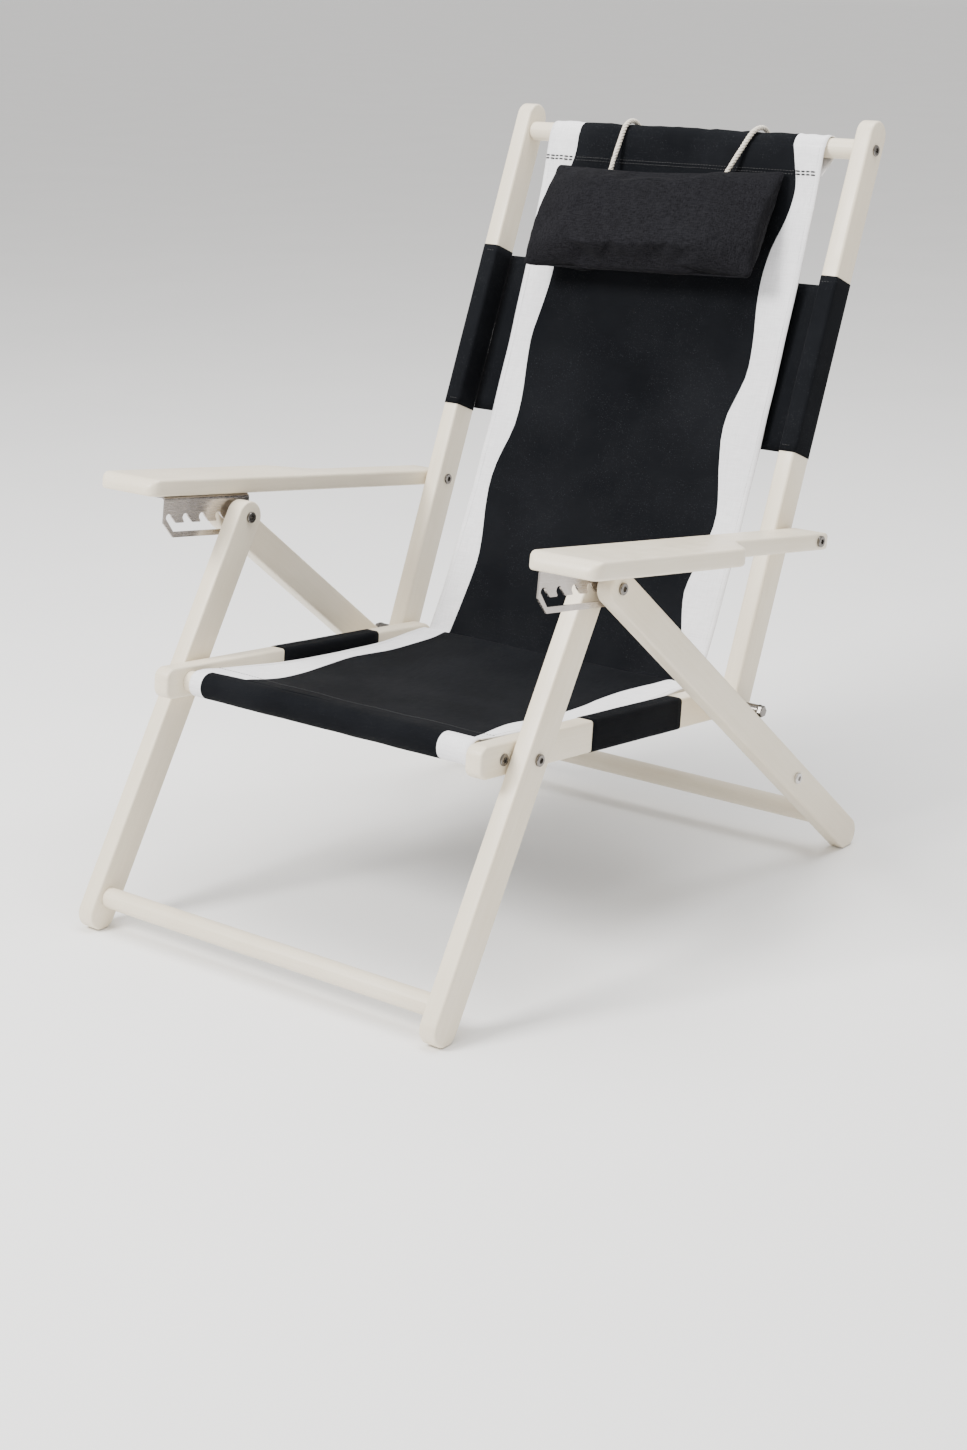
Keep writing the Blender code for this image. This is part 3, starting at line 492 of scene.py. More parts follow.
# ---- timber
RAIL_EDGE, ARM_EDGE = 0.0032, 0.0040     # radius of the rounded edges
BACK_RAIL_ABOVE_DOWEL = 0.0174
SEAT_NOSE_AHEAD, SEAT_NOSE_CORNER = 0.0370, 0.0120


def rail_outline(start, end, half):
    along = (end - start).normalized()
    angle = math.degrees(math.atan2(along.y, along.x))
    return arc(start, half, angle + 90.0, angle + 270.0, 26) + arc(end, half, angle - 90.0, angle + 90.0, 26)


def rails():
    front = clip_ground(rail_outline(APEX, FRONT_FOOT, FRONT_LEG_HALF))
    rear = clip_ground(rail_outline(APEX, REAR_FOOT, REAR_LEG_HALF))
    back = rail_outline(TOP_DOWEL + BACK_DIR * BACK_RAIL_ABOVE_DOWEL, BACK_PIVOT, BACK_RAIL_HALF)
    corner, half = SEAT_NOSE_CORNER, SEAT_RAIL_HALF
    nose = SEAT_PIVOT - SEAT_DIR * (SEAT_PIVOT_TO_FRONT_DOWEL + SEAT_NOSE_AHEAD)
    lower = nose + SEAT_DIR * corner - SEAT_UP * (half - corner)
    upper = nose + SEAT_DIR * corner + SEAT_UP * (half - corner)
    seat = arc(upper, corner, SEAT_ANGLE + 90.0, SEAT_ANGLE + 180.0, 12)
    seat += arc(lower, corner, SEAT_ANGLE + 180.0, SEAT_ANGLE + 270.0, 12)
    seat += arc(BACK_PIVOT, half, SEAT_ANGLE - 90.0, SEAT_ANGLE + 90.0, 26)
    made = (("front_leg", front, FRONT_LEG_X, FRONT_LEG_ANGLE, "front_frame"),
            ("rear_leg", rear, REAR_LEG_X, REAR_LEG_ANGLE, "rear_frame"),
            ("back_rail", back, BACK_RAIL_X, BACK_ANGLE, "back_frame"),
            ("seat_rail", seat, SEAT_RAIL_X, SEAT_ANGLE, "seat_frame"))
    for number, (name, outline, xs, angle, body) in enumerate(made):
        both_sides(name, name, lambda: slab(outline, *xs, RAIL_EDGE), wood(number, angle), body)


def arm_shape():
    """Arm lofted from rounded sections: bullnose front, rounded corners, stepped tail."""
    nose, chin, tail, plan, tail_plan = 0.0140, 0.0045, 0.0080, 0.0140, 0.0080
    stops = [nose * (1.0 - math.cos(math.radians(a))) for a in (0, 12, 24, 36, 48, 60, 72, 84, 90)]
    stations = [ARM_FRONT_S + d for d in stops]
    stations += [ARM_FRONT_S + nose + (ARM_STEP_S[0] - ARM_FRONT_S - nose) * k / 8 for k in range(1, 8)]
    stations += [ARM_STEP_S[0] + (ARM_STEP_S[1] - ARM_STEP_S[0]) * k / 18 for k in range(19)]
    stations += [ARM_STEP_S[1] + (ARM_REAR_S - tail - ARM_STEP_S[1]) * k / 5 for k in range(1, 5)]
    stations += [ARM_REAR_S - tail * (1.0 - math.sin(math.radians(a))) for a in (0, 18, 36, 54, 72, 90)]

    def inset(distance, radius):
        if distance >= radius:
            return 0.0
        return radius - math.sqrt(max(radius * radius - (radius - distance) ** 2, 0.0))

    shape = bmesh.new()
    rings = []
    for s in stations:
        ahead, behind = s - ARM_FRONT_S, ARM_REAR_S - s
        share = min(max((s - ARM_STEP_S[0]) / (ARM_STEP_S[1] - ARM_STEP_S[0]), 0.0), 1.0)
        outer = ARM_X[1] + (ARM_TAIL_OUTER_X - ARM_X[1]) * (0.5 - 0.5 * math.cos(math.pi * share))
        pull = inset(ahead, plan) + inset(behind, tail_plan)
        x0, x1 = ARM_X[0] + pull, outer - pull
        n0 = ARM_UNDERSIDE_N + inset(ahead, chin) + inset(behind, tail) * 0.98
        n1 = ARM_TOP_N - inset(ahead, nose) - inset(behind, tail) * 0.98
        r = min(ARM_EDGE, (n1 - n0) * 0.49, (x1 - x0) * 0.49)
        ring = []
        for cx, cn, start in ((x1 - r, n1 - r, 0.0), (x0 + r, n1 - r, 90.0), (x0 + r, n0 + r, 180.0),
                              (x1 - r, n0 + r, 270.0)):
            for x, n in arc((cx, cn), r, start, start + 90.0, 5):
                y, z = arm_point(s, n)
                ring.append(shape.verts.new((x, y, z)))
        rings.append(ring)
    skin(shape, rings)
    return shape


# ---- notched brackets
def bracket_window():
    first = -NOTCH_PITCH * (NOTCH_COUNT - 1)
    points = []
    for index in range(NOTCH_COUNT):
        s = first + NOTCH_PITCH * index
        if index:
            points += [arm_point(s - 0.0026, -0.0064), arm_point(s - 0.0016, -0.0054)]
        points.append(arm_point(s - NOTCH_RADIUS, -0.0012))
        points += [arm_point(*p) for p in arc((s, 0.0), NOTCH_RADIUS, 180.0, 15.0, 12)]
        if index < NOTCH_COUNT - 1:
            points += [arm_point(s + 0.0112, -0.0056), arm_point(s + 0.0124, -0.0064)]
    points += [arm_point(*p) for p in arc((NOTCH_RADIUS - 0.0010, -0.0143), 0.0022, 0.0, -90.0, 4)]
    points += [arm_point(*p) for p in arc((first + 0.0098, -0.0143), 0.0022, 270.0, 205.0, 4)]
    return points


def bracket_shape():
    """Web with a notched window, a rounded bend and a flange under the arm."""
    x0, flange_x, sheet, bend = 0.2642, 0.2840, 0.0022, 0.0052
    top = ARM_UNDERSIDE_N - 0.0003
    front, rear, foot, cut = -0.1137, 0.0240, -0.0230, 0.0165
    corners = [(front, top - bend), (front, foot + cut), (front + cut, foot), (rear - cut, foot),
               (rear, foot + cut), (rear, top - bend)]
    shape = bmesh.new()
    rims = []
    for outline in ([arm_point(*c) for c in corners], bracket_window()):
        verts = [shape.verts.new((x0, p[0], p[1])) for p in outline]
        rims += [shape.edges.new((verts[k - 1], verts[k])) for k in range(len(verts))]
    bmesh.ops.triangle_fill(shape, edges=rims, use_beauty=True, use_dissolve=False)
    swept = bmesh.ops.extrude_face_region(shape, geom=list(shape.faces))
    verts = [part for part in swept["geom"] if isinstance(part, bmesh.types.BMVert)]
    bmesh.ops.translate(shape, verts=verts, vec=(sheet, 0.0, 0.0))
    section, inner = [], []
    for k in range(9):
        across, up = math.cos(math.radians(90.0 * k / 8)), math.sin(math.radians(90.0 * k / 8))
        section.append((x0 + bend - bend * across, top - bend + bend * up))
        inner.append((x0 + bend - (bend - sheet) * across, top - bend + (bend - sheet) * up))
    section.append((flange_x, top))
    inner.append((flange_x, top - sheet))
    loop = section + inner[::-1]
    ends = []
    for s in (front, rear):
        ends.append([shape.verts.new((x, *arm_point(s, n))) for x, n in loop])
    for k in range(len(loop)):
        m = (k + 1) % len(loop)
        shape.faces.new((ends[0][k], ends[0][m], ends[1][m], ends[1][k]))
    for end in ends:
        for k in range(len(section) - 1):
            shape.faces.new((end[k], end[k + 1], end[-2 - k], end[-1 - k]))
    bmesh.ops.remove_doubles(shape, verts=shape.verts, dist=1e-6)
    return shape


def turned_shape(profile, centre, sides, hexagon):
    """Solid turned about X from (x, radius) pairs; rings listed in hexagon are six-sided."""
    shape = bmesh.new()
    rings = []
    for index, (x, radius) in enumerate(profile):
        ring = []
        for side in range(sides):
            angle = math.tau * side / sides
            reach = radius
            if index in hexagon:
                reach = radius * math.cos(math.pi / 6) / math.cos((angle % (math.pi / 3)) - math.pi / 6)
            y, z = centre[0] + reach * math.cos(angle), centre[1] + reach * math.sin(angle)
            ring.append(shape.verts.new((x, y, z)))
        rings.append(ring)
    skin(shape, rings)
    return shape


def pivot_ends(steel):
    """Outer end of each back pivot: sleeve, washer and hexagonal bolt head that lie on the rear leg."""
    profile = [(0.2600, 0.0046), (0.2600, 0.0066), (0.2604, 0.0069), (0.2826, 0.0069), (0.2830, 0.0066),
               (0.2830, 0.0074), (0.2842, 0.0074), (0.2842, 0.0070), (0.2886, 0.0070), (0.2896, 0.0062),
               (0.2896, 0.0030)]
    both_sides("back_pivot_end", "", lambda: turned_shape(profile, BACK_PIVOT, 48, (7, 8, 9)), steel,
               "back_pivot", 30.0)


# ---- cloth
def grid_mesh(name, points, paint=None, closed=False):
    """Quad sheet over a table of points; paint(row, column) gives the material slot."""
    mesh = bpy.data.meshes.new(name)
    rows, columns = len(points), len(points[0])
    verts = [tuple(p) for row in points for p in row]
    faces, slots = [], []
    for i in range(rows - 1):
        for j in range(columns if closed else columns - 1):
            k = (j + 1) % columns
            faces.append((i * columns + j, i * columns + k, (i + 1) * columns + k, (i + 1) * columns + j))
            slots.append(paint(i, j) if paint else 0)
    mesh.from_pydata(verts, [], faces)
    mesh.shade_smooth()
    for face, index in zip(mesh.polygons, slots):
        face.material_index = index
    return mesh


def lengths(path):
    """Distance from the start at each point of a path."""
    run = [0.0]
    for a, b in zip(path, path[1:]):
        run.append(run[-1] + (b - a).length)
    return run


# Stitch sizes: pitch, length and thread radius.
BOLD_STITCH = (0.0070, 0.0058, 0.0010)
HEM_STITCH = (0.0042, 0.0030, 0.0004)
BORDER_STITCH = (0.0040, 0.0028, 0.00035)
POUCH_STITCH = (0.0040, 0.0029, 0.00035)
SLEEVE_STITCH = (0.0036, 0.0026, 0.0003)


def stitches(name, line, out, kind, material, body):
    """Short thread stitches laid along a line of 3-D points, with `out` the cloth's outward normal."""
    pitch, length, radius = kind
    run = lengths(line)
    shape = bmesh.new()
    count = int(run[-1] / pitch)
    for index in range(count):
        ends = []
        for s in (index * pitch, index * pitch + length):
            k = max(i for i in range(len(run)) if run[i] <= s + 1e-9)
            k = min(k, len(line) - 2)
            share = (s - run[k]) / max(run[k + 1] - run[k], 1e-9)
            ends.append(line[k] + (line[k + 1] - line[k]) * min(share, 1.0))
        along = (ends[1] - ends[0]).normalized()
        side = along.cross(out).normalized()
        rings = []
        for share, lift, size in ((0.0, -0.4, 0.55), (0.2, 0.25, 1.0), (0.8, 0.25, 1.0), (1.0, -0.4, 0.55)):
            centre = ends[0] + (ends[1] - ends[0]) * share + out * (lift * radius)
            ring = []
            for a in range(5):
                turn = math.tau * a / 5
                offset = (side * math.cos(turn) + out * math.sin(turn)) * (radius * size)
                ring.append(shape.verts.new(centre + offset))
            rings.append(ring)
        skin(shape, rings)
    return add(name, finish_mesh(shape, name), [material], body)


# Side view of each sling from its dowel to the crease: distance along, and height off the rails' middle.
BACK_RUN = [(0.0, 0.0145), (0.010, 0.0142), (0.034, 0.0108), (0.080, 0.0060), (0.200, -0.0020),
            (0.330, -0.0060), (0.480, -0.0050), (0.590, 0.0010), (0.6460, 0.0066), (0.6548, 0.0092)]
SEAT_RUN = [(0.0, 0.0145), (0.012, 0.0142), (0.040, 0.0118), (0.090, 0.0090), (0.190, 0.0050),
            (0.290, 0.0070), (0.365, 0.0130), (0.396, 0.0158), (0.4058, 0.0128)]
# Wavy edges of the black panel: distance along, and distance from the middle.
BACK_LEFT = [(0.0, 0.157), (0.015, 0.162), (0.040, 0.169), (0.062, 0.171), (0.093, 0.166), (0.126, 0.155),
             (0.158, 0.150), (0.183, 0.150), (0.205, 0.152), (0.230, 0.156), (0.262, 0.159), (0.284, 0.158),
             (0.312, 0.150), (0.334, 0.144), (0.359, 0.144), (0.381, 0.148), (0.400, 0.152), (0.422, 0.158),
             (0.444, 0.163), (0.461, 0.164), (0.480, 0.161), (0.505, 0.155), (0.527, 0.150), (0.545, 0.147),
             (0.565, 0.150), (0.590, 0.157), (0.620, 0.165), (0.655, 0.170)]
BACK_RIGHT = [(0.0, 0.156), (0.028, 0.157), (0.062, 0.166), (0.093, 0.168), (0.126, 0.163), (0.158, 0.158),
              (0.180, 0.158), (0.203, 0.160), (0.231, 0.164), (0.262, 0.169), (0.286, 0.168), (0.312, 0.165),
              (0.336, 0.162), (0.362, 0.161), (0.387, 0.163), (0.412, 0.170), (0.434, 0.175), (0.460, 0.177),
              (0.492, 0.173), (0.519, 0.167), (0.543, 0.163), (0.562, 0.162), (0.605, 0.165), (0.655, 0.169)]
SEAT_LEFT = [(0.004, 0.192), (0.020, 0.187), (0.055, 0.176), (0.095, 0.166), (0.129, 0.162), (0.210, 0.161),
             (0.248, 0.157), (0.290, 0.148), (0.330, 0.147), (0.359, 0.155), (0.380, 0.163), (0.406, 0.170)]
SEAT_RIGHT = [(0.004, 0.132), (0.058, 0.136), (0.112, 0.147), (0.170, 0.163), (0.222, 0.174), (0.261, 0.175),
              (0.296, 0.171), (0.331, 0.166), (0.366, 0.163), (0.406, 0.169)]
HEM_RADIUS = 0.0145
HEM_WRAP = 212.0                         # degrees of hem round the dowel
SLING_THICKNESS = 0.0013
BORDER_COLUMNS, MIDDLE_COLUMNS = 7, 34


def sling_columns(left, right):
    """X places across the sling, right edge to left edge, with the border seams on columns."""
    wide = SLING_HALF_WIDTH
    xs = [-wide + (wide - right) * k / BORDER_COLUMNS for k in range(BORDER_COLUMNS)]
    xs += [-right + (left + right) * k / MIDDLE_COLUMNS for k in range(MIDDLE_COLUMNS)]
    xs += [left + (wide - left) * k / BORDER_COLUMNS for k in range(BORDER_COLUMNS + 1)]
    return xs


def sling(node, body, place, run, left, right, hem_black, seam_at, sag, wrinkle, black, white):
    """One half of the sling: hem round its dowel, then the run to the crease."""
    front = smooth_path(run, 9)
    tail_end = Vector((seam_at, curve_at([(p.x, p.y) for p in front], seam_at) - 0.0024))
    around = [Vector((-math.sin(a) * HEM_RADIUS, math.cos(a) * HEM_RADIUS))
              for a in [math.radians(HEM_WRAP * (1.0 - k / 20)) for k in range(20)]]
    tail = [tail_end + (around[0] - tail_end) * (k / 8) for k in range(8)]
    path = tail + around + front
    points = []
    hem_rows = len(tail) + len(around)
    for i, point in enumerate(path):
        down = point.x if i >= hem_rows else 0.0
        in_hem = i < hem_rows or down < 0.004
        edges = hem_black if in_hem else (curve_at(left, down), curve_at(right, down))
        before, after = path[max(i - 1, 0)], path[min(i + 1, len(path) - 1)]
        tangent = (after - before).normalized()
        out = Vector((-tangent.y, tangent.x))
        row = []
        for x in sling_columns(*edges):
            u = x / SLING_HALF_WIDTH
            shift = wrinkle(x, down, in_hem)
            if not in_hem:
                shift -= sag * (1.0 - u * u) * math.sin(math.pi * min(down / run[-1][0], 1.0)) ** 0.8
            p = point + out * shift
            waist = 1.0 - 0.012 * math.sin(math.pi * down / run[-1][0])
            row.append(in_space(place(p.x, p.y), x * waist))
        points.append(row)
    length = lengths(path)[-1]

    def paint(i, j):
        return 0 if BORDER_COLUMNS <= j < BORDER_COLUMNS + MIDDLE_COLUMNS else 1

    name = node + "_look"
    item = add(name, grid_mesh(name, points, paint), [black, white], body)
    solidify(item, SLING_THICKNESS)
    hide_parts(node)
    return item, points, hem_rows, length


def row_at(grid, start, origin, along, distance):
    """The grid row nearest a distance from the origin, from row start on."""
    column = BORDER_COLUMNS + 13

    def miss(i):
        return abs((Vector(grid[i][column].yz) - origin).dot(along) - distance)

    return min(range(start, len(grid)), key=miss)


def build_slings(black_back, white_back, black_seat, white_seat, white_thread, dark_thread):
    def back_wrinkle(x, down, in_hem):
        folds = noise.noise(Vector((x * 34.0, down * 9.0, 1.7)))
        if in_hem:
            fine = noise.noise(Vector((x * 75.0, 0.3, 2.0)))
            return 0.0005 - 0.0030 * abs(folds) - 0.0012 * abs(fine)
        gather = math.exp(-((down - 0.036) / 0.020) ** 2)
        tucks = 0.0017 * gather * (folds + 0.6 * math.sin(x * 310.0 + 3.0 * folds))
        edge = max(abs(x) / SLING_HALF_WIDTH - 0.72, 0.0)
        ripple = 0.0016 * edge * math.sin(down * 62.0 + 2.0 * folds)
        broad = 0.0009 * noise.noise(Vector((x * 7.0, down * 6.0, 4.0)))
        return tucks + ripple + broad

    def seat_wrinkle(x, down, in_hem):
        folds = noise.noise(Vector((x * 26.0, down * 12.0, 7.3)))
        if in_hem:
            return 0.0006 * folds
        slant = noise.noise(Vector(((x + down * 0.8) * 13.0, (down - x * 0.3) * 5.0, 2.2)))
        return 0.0008 * folds * math.exp(-down / 0.06) + 0.0022 * slant

    back, grid, hem_rows, length = sling(
        "back_sling", "back_frame", back_point, BACK_RUN, BACK_LEFT, BACK_RIGHT, (0.158, 0.156),
        0.0385, 0.0035, back_wrinkle, black_back, white_back)
    out = in_space(BACK_FRONT)
    extras = []
    first, last = BORDER_COLUMNS, BORDER_COLUMNS + MIDDLE_COLUMNS
    for k, down in enumerate((0.0335, 0.0375)):
        line = [p + out * 0.0008 for p in grid[row_at(grid, hem_rows, TOP_DOWEL, -BACK_DIR, down)]]
        for letter, part, kind in (("a", line[:first + 1], BOLD_STITCH), ("b", line[last:], BOLD_STITCH),
                                   ("c", line[first:last + 1], HEM_STITCH)):
            title = "hem_stitch_%s%d" % (letter, k)
            extras.append(stitches(title, part, out, kind, dark_thread, "back_frame"))
    extras += border_stitches("back", grid, hem_rows, out, white_thread, "back_frame")

    seat, grid, hem_rows, length = sling(
        "seat_sling", "seat_frame", seat_point, SEAT_RUN, SEAT_LEFT, SEAT_RIGHT, (0.158, 0.183),
        0.0330, 0.0045, seat_wrinkle, black_seat, white_seat)
    out = in_space(SEAT_UP)
    extras = border_stitches("seat", grid, hem_rows, out, white_thread, "seat_frame")
    line = [p + out * 0.0007 for p in grid[row_at(grid, hem_rows, FRONT_DOWEL, SEAT_DIR, 0.031)]]
    extras.append(stitches("seat_hem_stitch", line, out, HEM_STITCH, dark_thread, "seat_frame"))


def border_stitches(name, grid, hem_rows, out, thread, body):
    """White stitches just outside each border seam and along each outer edge."""
    made = []
    rows = grid[hem_rows + 2:-1]
    last = BORDER_COLUMNS + MIDDLE_COLUMNS
    places = ((BORDER_COLUMNS, -0.0022), (last, 0.0022), (0, 0.0065), (last + BORDER_COLUMNS, -0.0065))
    for index, (j, pull) in enumerate(places):
        line = [row[j] + Vector((pull, 0.0, 0.0)) + out * 0.0006 for row in rows]
        title = "%s_border_stitch_%d" % (name, index)
        made.append(stitches(title, line, out, BORDER_STITCH, thread, body))
    return made


def sleeve_section(width, half):
    """Rounded rectangle a little bigger than a rail, as (x, n) points."""
    wx, wn, r = width / 2 + 0.0004, half + 0.0004, 0.0040
    section = []
    for cx, cn, turn in ((wx - r, wn - r, 0.0), (-wx + r, wn - r, 90.0), (-wx + r, -wn + r, 180.0),
                         (wx - r, -wn + r, 270.0)):
        section += arc((cx, cn), r, turn, turn + 90.0, 4)
    return fill_ring(section, 0.006)


def rail_sleeve(name, body, middle, up, half, xs, cloth, thread):
    """Canvas tube round a rail: rounded corners, soft waves, hems at both ends."""
    start, end = middle
    centre_x, width = (xs[0] + xs[1]) / 2, xs[1] - xs[0]
    steps = 20
    for side, sign in (("left", 1.0), ("right", -1.0)):
        points = []
        section = sleeve_section(width, half)
        for i in range(steps + 1):
            share = i / steps
            centre = start + (end - start) * share
            ring = []
            for x, n in section:
                wave = 0.0002 * noise.noise(Vector((x * 60.0 + sign, n * 60.0, share * 9.0)))
                p = centre + up * (n + wave * (1 if n > 0 else -1))
                ring.append(in_space(p, sign * (centre_x + x)))
            points.append(ring)
        item = add(name + "_" + side + "_look", grid_mesh(name, points, closed=True), [cloth], body)
        solidify(item, 0.0006)
        item.data.shade_smooth()
        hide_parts(name + "_" + side)
        girth = lengths([*points[0], points[0][0]])[-1]
        for k, share in enumerate((0.035, 0.965)):
            p = start + (end - start) * share + up * (half + 0.0008)
            first, reach = xs[0] + 0.004, width - 0.008
            line = [in_space(p, sign * (first + reach * t / 8)) for t in range(9)]
            title = "%s_%s_stitch_%d" % (name, side, k)
            stitches(title, line, in_space(up), SLEEVE_STITCH, thread, body)


def fill_ring(ring, spacing):
    """Add points on the long sides of a closed ring."""
    made = []
    for k, a in enumerate(ring):
        b = ring[(k + 1) % len(ring)]
        made.append(a)
        count = int((b - a).length / spacing)
        for m in range(1, count):
            made.append(a + (b - a) * (m / count))
    return made


def pouch(cloth, thread):
    """Flat pocket behind the sling, open at the top, hung between the back sleeves."""
    reach = BACK_RAIL_X[0] - 0.0018
    top, bottom = BACK_SLEEVE_SPAN
    inner = [(top + 0.004 + (bottom - top - 0.008) * k / 18, 0.0) for k in range(19)]
    outer = [(top + 0.010 + (bottom - top - 0.014) * (18 - k) / 18, 1.0) for k in range(19)]
    points = []
    columns = 36
    for k, (down, layer) in enumerate(inner + outer):
        row = []
        for j in range(columns + 1):
            u = 2.0 * j / columns - 1.0
            x = u * reach
            belly = (1.0 - u * u) ** 0.7
            share = (down - top) / (bottom - top)
            front = -0.0146 - 0.0006 * belly
            gap = 0.0016 + (0.0050 * (1.0 - share) + 0.0022 * math.sin(math.pi * share)) * belly
            h = front - layer * gap + 0.0005 * noise.noise(Vector((x * 18.0, down * 22.0, 3.0 + layer)))
            sink = 0.0040 * belly * layer * (1.0 - share)
            row.append(in_space(back_point(down + sink, h), x))
        points.append(row)
    item = add("back_pouch_look", grid_mesh("back_pouch", points), [cloth], "back_frame")
    solidify(item, 0.0009)
    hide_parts("back_pouch")
    out = in_space(-BACK_FRONT)
    for k, row in enumerate((35, 33)):
        line = [p + out * 0.0006 for p in points[row]]
        stitches("pouch_stitch_%d" % k, line, out, POUCH_STITCH, thread, "back_frame")
    length = lengths([row[columns // 2] for row in points])[-1]


def band(cloth, thread):
    """Support band under the seat, between the seat sleeves."""
    reach = SEAT_RAIL_X[0] - 0.0018
    near, far = SEAT_SLEEVE_SPAN
    points = []
    for i in range(21):
        along = near + (far - near) * i / 20
        row = []
        for j in range(33):
            u = 2.0 * j / 32 - 1.0
            ripple = 0.0007 * noise.noise(Vector((u * 3.0, along * 20.0, 9.0)))
            up = -SEAT_RAIL_HALF + 0.0022 - 0.0030 * (1.0 - u * u) + ripple
            row.append(in_space(SEAT_PIVOT + SEAT_DIR * along + SEAT_UP * up, u * reach))
        points.append(row)
    item = add("seat_band_look", grid_mesh("seat_band", points), [cloth], "seat_frame")
    solidify(item, 0.0010)
    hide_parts("seat_band")
    out = in_space(-SEAT_UP)
    for k, row in enumerate((1, 19)):
        line = [p + out * 0.0007 for p in points[row]]
        stitches("band_stitch_%d" % k, line, out, POUCH_STITCH, thread, "seat_frame")


# ---- pillow
PILLOW_HALF = (0.1500, 0.0620, 0.0150)    # before it is puffed up
PILLOW_CENTRE_X, PILLOW_TILT = -0.0060, 1.7
PILLOW_FINAL_HALF = (0.1660, 0.0710, 0.0270)
PILLOW_DOWN, PILLOW_FORWARD, PILLOW_LEAN = 0.1120, 0.0318, -11.0
PILLOW_SIDE_PULL, PILLOW_TOP_PULL, PILLOW_FOOT_PULL = 0.018, 0.11, 0.0
PILLOW_CORNER_POWER = 34.0
PILLOW_RIM = 0.0035
PUFF_VOXEL, PUFF_CAP, PUFF_FRAMES = 0.0048, 0.0160, 20


def pillow_start():
    """Flat lens with slightly drawn-in sides, in its own frame: X across, Y down, Z forward."""
    across, down = 60, 26
    shape = bmesh.new()

    def vertex(i, j, side):
        u, v = 2.0 * i / across - 1.0, 2.0 * j / down - 1.0
        crown = ((1.0 - abs(u) ** 6) * (1.0 - abs(v) ** 4)) ** 0.5
        x = u * PILLOW_HALF[0] * (1.0 - 0.020 * (1.0 - v * v))
        y = v * PILLOW_HALF[1] * (1.0 - 0.050 * (1.0 - u * u))
        return shape.verts.new((x, y, side * (PILLOW_RIM + (PILLOW_HALF[2] - PILLOW_RIM) * crown)))

    front = [[vertex(i, j, 1.0) for i in range(across + 1)] for j in range(down + 1)]
    back = [[vertex(i, j, -1.0) for i in range(across + 1)] for j in range(down + 1)]
    for grid in (front, back):
        for j in range(down):
            for i in range(across):
                shape.faces.new((grid[j][i], grid[j][i + 1], grid[j + 1][i + 1], grid[j + 1][i]))

    def rim(grid):
        return grid[0][:-1] + [r[-1] for r in grid[:-1]] + grid[-1][:0:-1] + [r[0] for r in grid[:0:-1]]

    a, b = rim(front), rim(back)
    for k in range(len(a)):
        m = (k + 1) % len(a)
        shape.faces.new((a[k], a[m], b[m], b[k]))
    return finish_mesh(shape, "pillow")


def puff(item):
    """Inflate the pillow with a cloth simulation, then cap how far each point moved."""
    remesh = item.modifiers.new("remesh", "REMESH")
    remesh.mode = "VOXEL"
    remesh.voxel_size = PUFF_VOXEL
    freeze(item)
    start = [v.co.copy() for v in item.data.vertices]
    cloth = item.modifiers.new("puff", "CLOTH")
    cloth.settings.quality = 6
    cloth.settings.mass = 0.25
    cloth.settings.tension_stiffness = 22.0
    cloth.settings.compression_stiffness = 22.0
    cloth.settings.bending_stiffness = 0.35
    cloth.settings.use_pressure = True
    cloth.settings.uniform_pressure_force = 4.0
    cloth.settings.effector_weights.gravity = 0.0
    cloth.collision_settings.use_collision = False
    scene = bpy.context.scene
    for step in range(1, PUFF_FRAMES + 1):
        scene.frame_set(step)
    freeze(item)
    scene.frame_set(1)
    for v, origin in zip(item.data.vertices, start):
        move = v.co - origin
        if move.length > PUFF_CAP:
            v.co = origin + move * (PUFF_CAP / move.length)


def pillow_edge(u, v):
    """Shares of the full half width and half height that the outline keeps at (u, v)."""
    pull = PILLOW_TOP_PULL if v < 0.0 else PILLOW_FOOT_PULL
    power = PILLOW_CORNER_POWER
    corner = min((abs(u) ** power + abs(v) ** power) ** (-1.0 / power), 1.0) if u or v else 1.0
    return corner * (1.0 - PILLOW_SIDE_PULL * (1.0 - v * v)), corner * (1.0 - pull * (1.0 - u * u))


def straighten(item):
    """Bring the pillow's outline back to its sewn rectangle, then draw in its edges and corners."""
    co = np.array([v.co for v in item.data.vertices])
    co -= (co.max(0) + co.min(0)) / 2
    co /= np.abs(co).max(0)
    for across, along in ((0, 1), (1, 0)):
        stops = np.linspace(-1.0, 1.0, 25)
        for sign in (1.0, -1.0):
            edge = []
            for stop in stops:
                near = np.abs(co[:, across] - stop) < 0.05
                edge.append(max((co[near, along] * sign).max(), 0.5) if near.any() else 1.0)
            chosen = co[:, along] * sign > 0.0
            co[chosen, along] /= np.interp(co[:, across], stops, edge)[chosen]
    for v, p in zip(item.data.vertices, co):
        x, y = pillow_edge(float(np.clip(p[0], -1.0, 1.0)), float(np.clip(p[1], -1.0, 1.0)))
        half_x, half_y, half_z = PILLOW_FINAL_HALF
        v.co = (p[0] * x * half_x, p[1] * y * half_y, p[2] * half_z)


def settle(item):
    """Add puckers at the seam, soft creases and thin corners, and keep the lower half fuller."""
    half_x, half_y = PILLOW_FINAL_HALF[:2]
    for v in item.data.vertices:
        p = v.co.copy()
        u, w = p.x / half_x, p.y / half_y
        pucker = math.exp(-((1.0 - max(abs(u), abs(w))) / 0.16) ** 2)
        around = math.atan2(w, u)
        ridge = noise.noise(Vector((math.cos(around) * 9.0, math.sin(around) * 9.0, 3.0)))
        p.z += 0.0026 * pucker * ridge * (1.0 if p.z > 0 else -0.6)
        crease = noise.noise(Vector((p.x * 17.0 + p.y * 6.0, p.y * 30.0, 5.0)))
        p.z += 0.0018 * crease * (1.0 - pucker)
        corner = max(abs(u) + abs(w) - 1.45, 0.0)
        p.z *= (1.0 - 0.75 * min(corner, 0.5)) * (1.0 + 0.10 * w)
        v.co = p


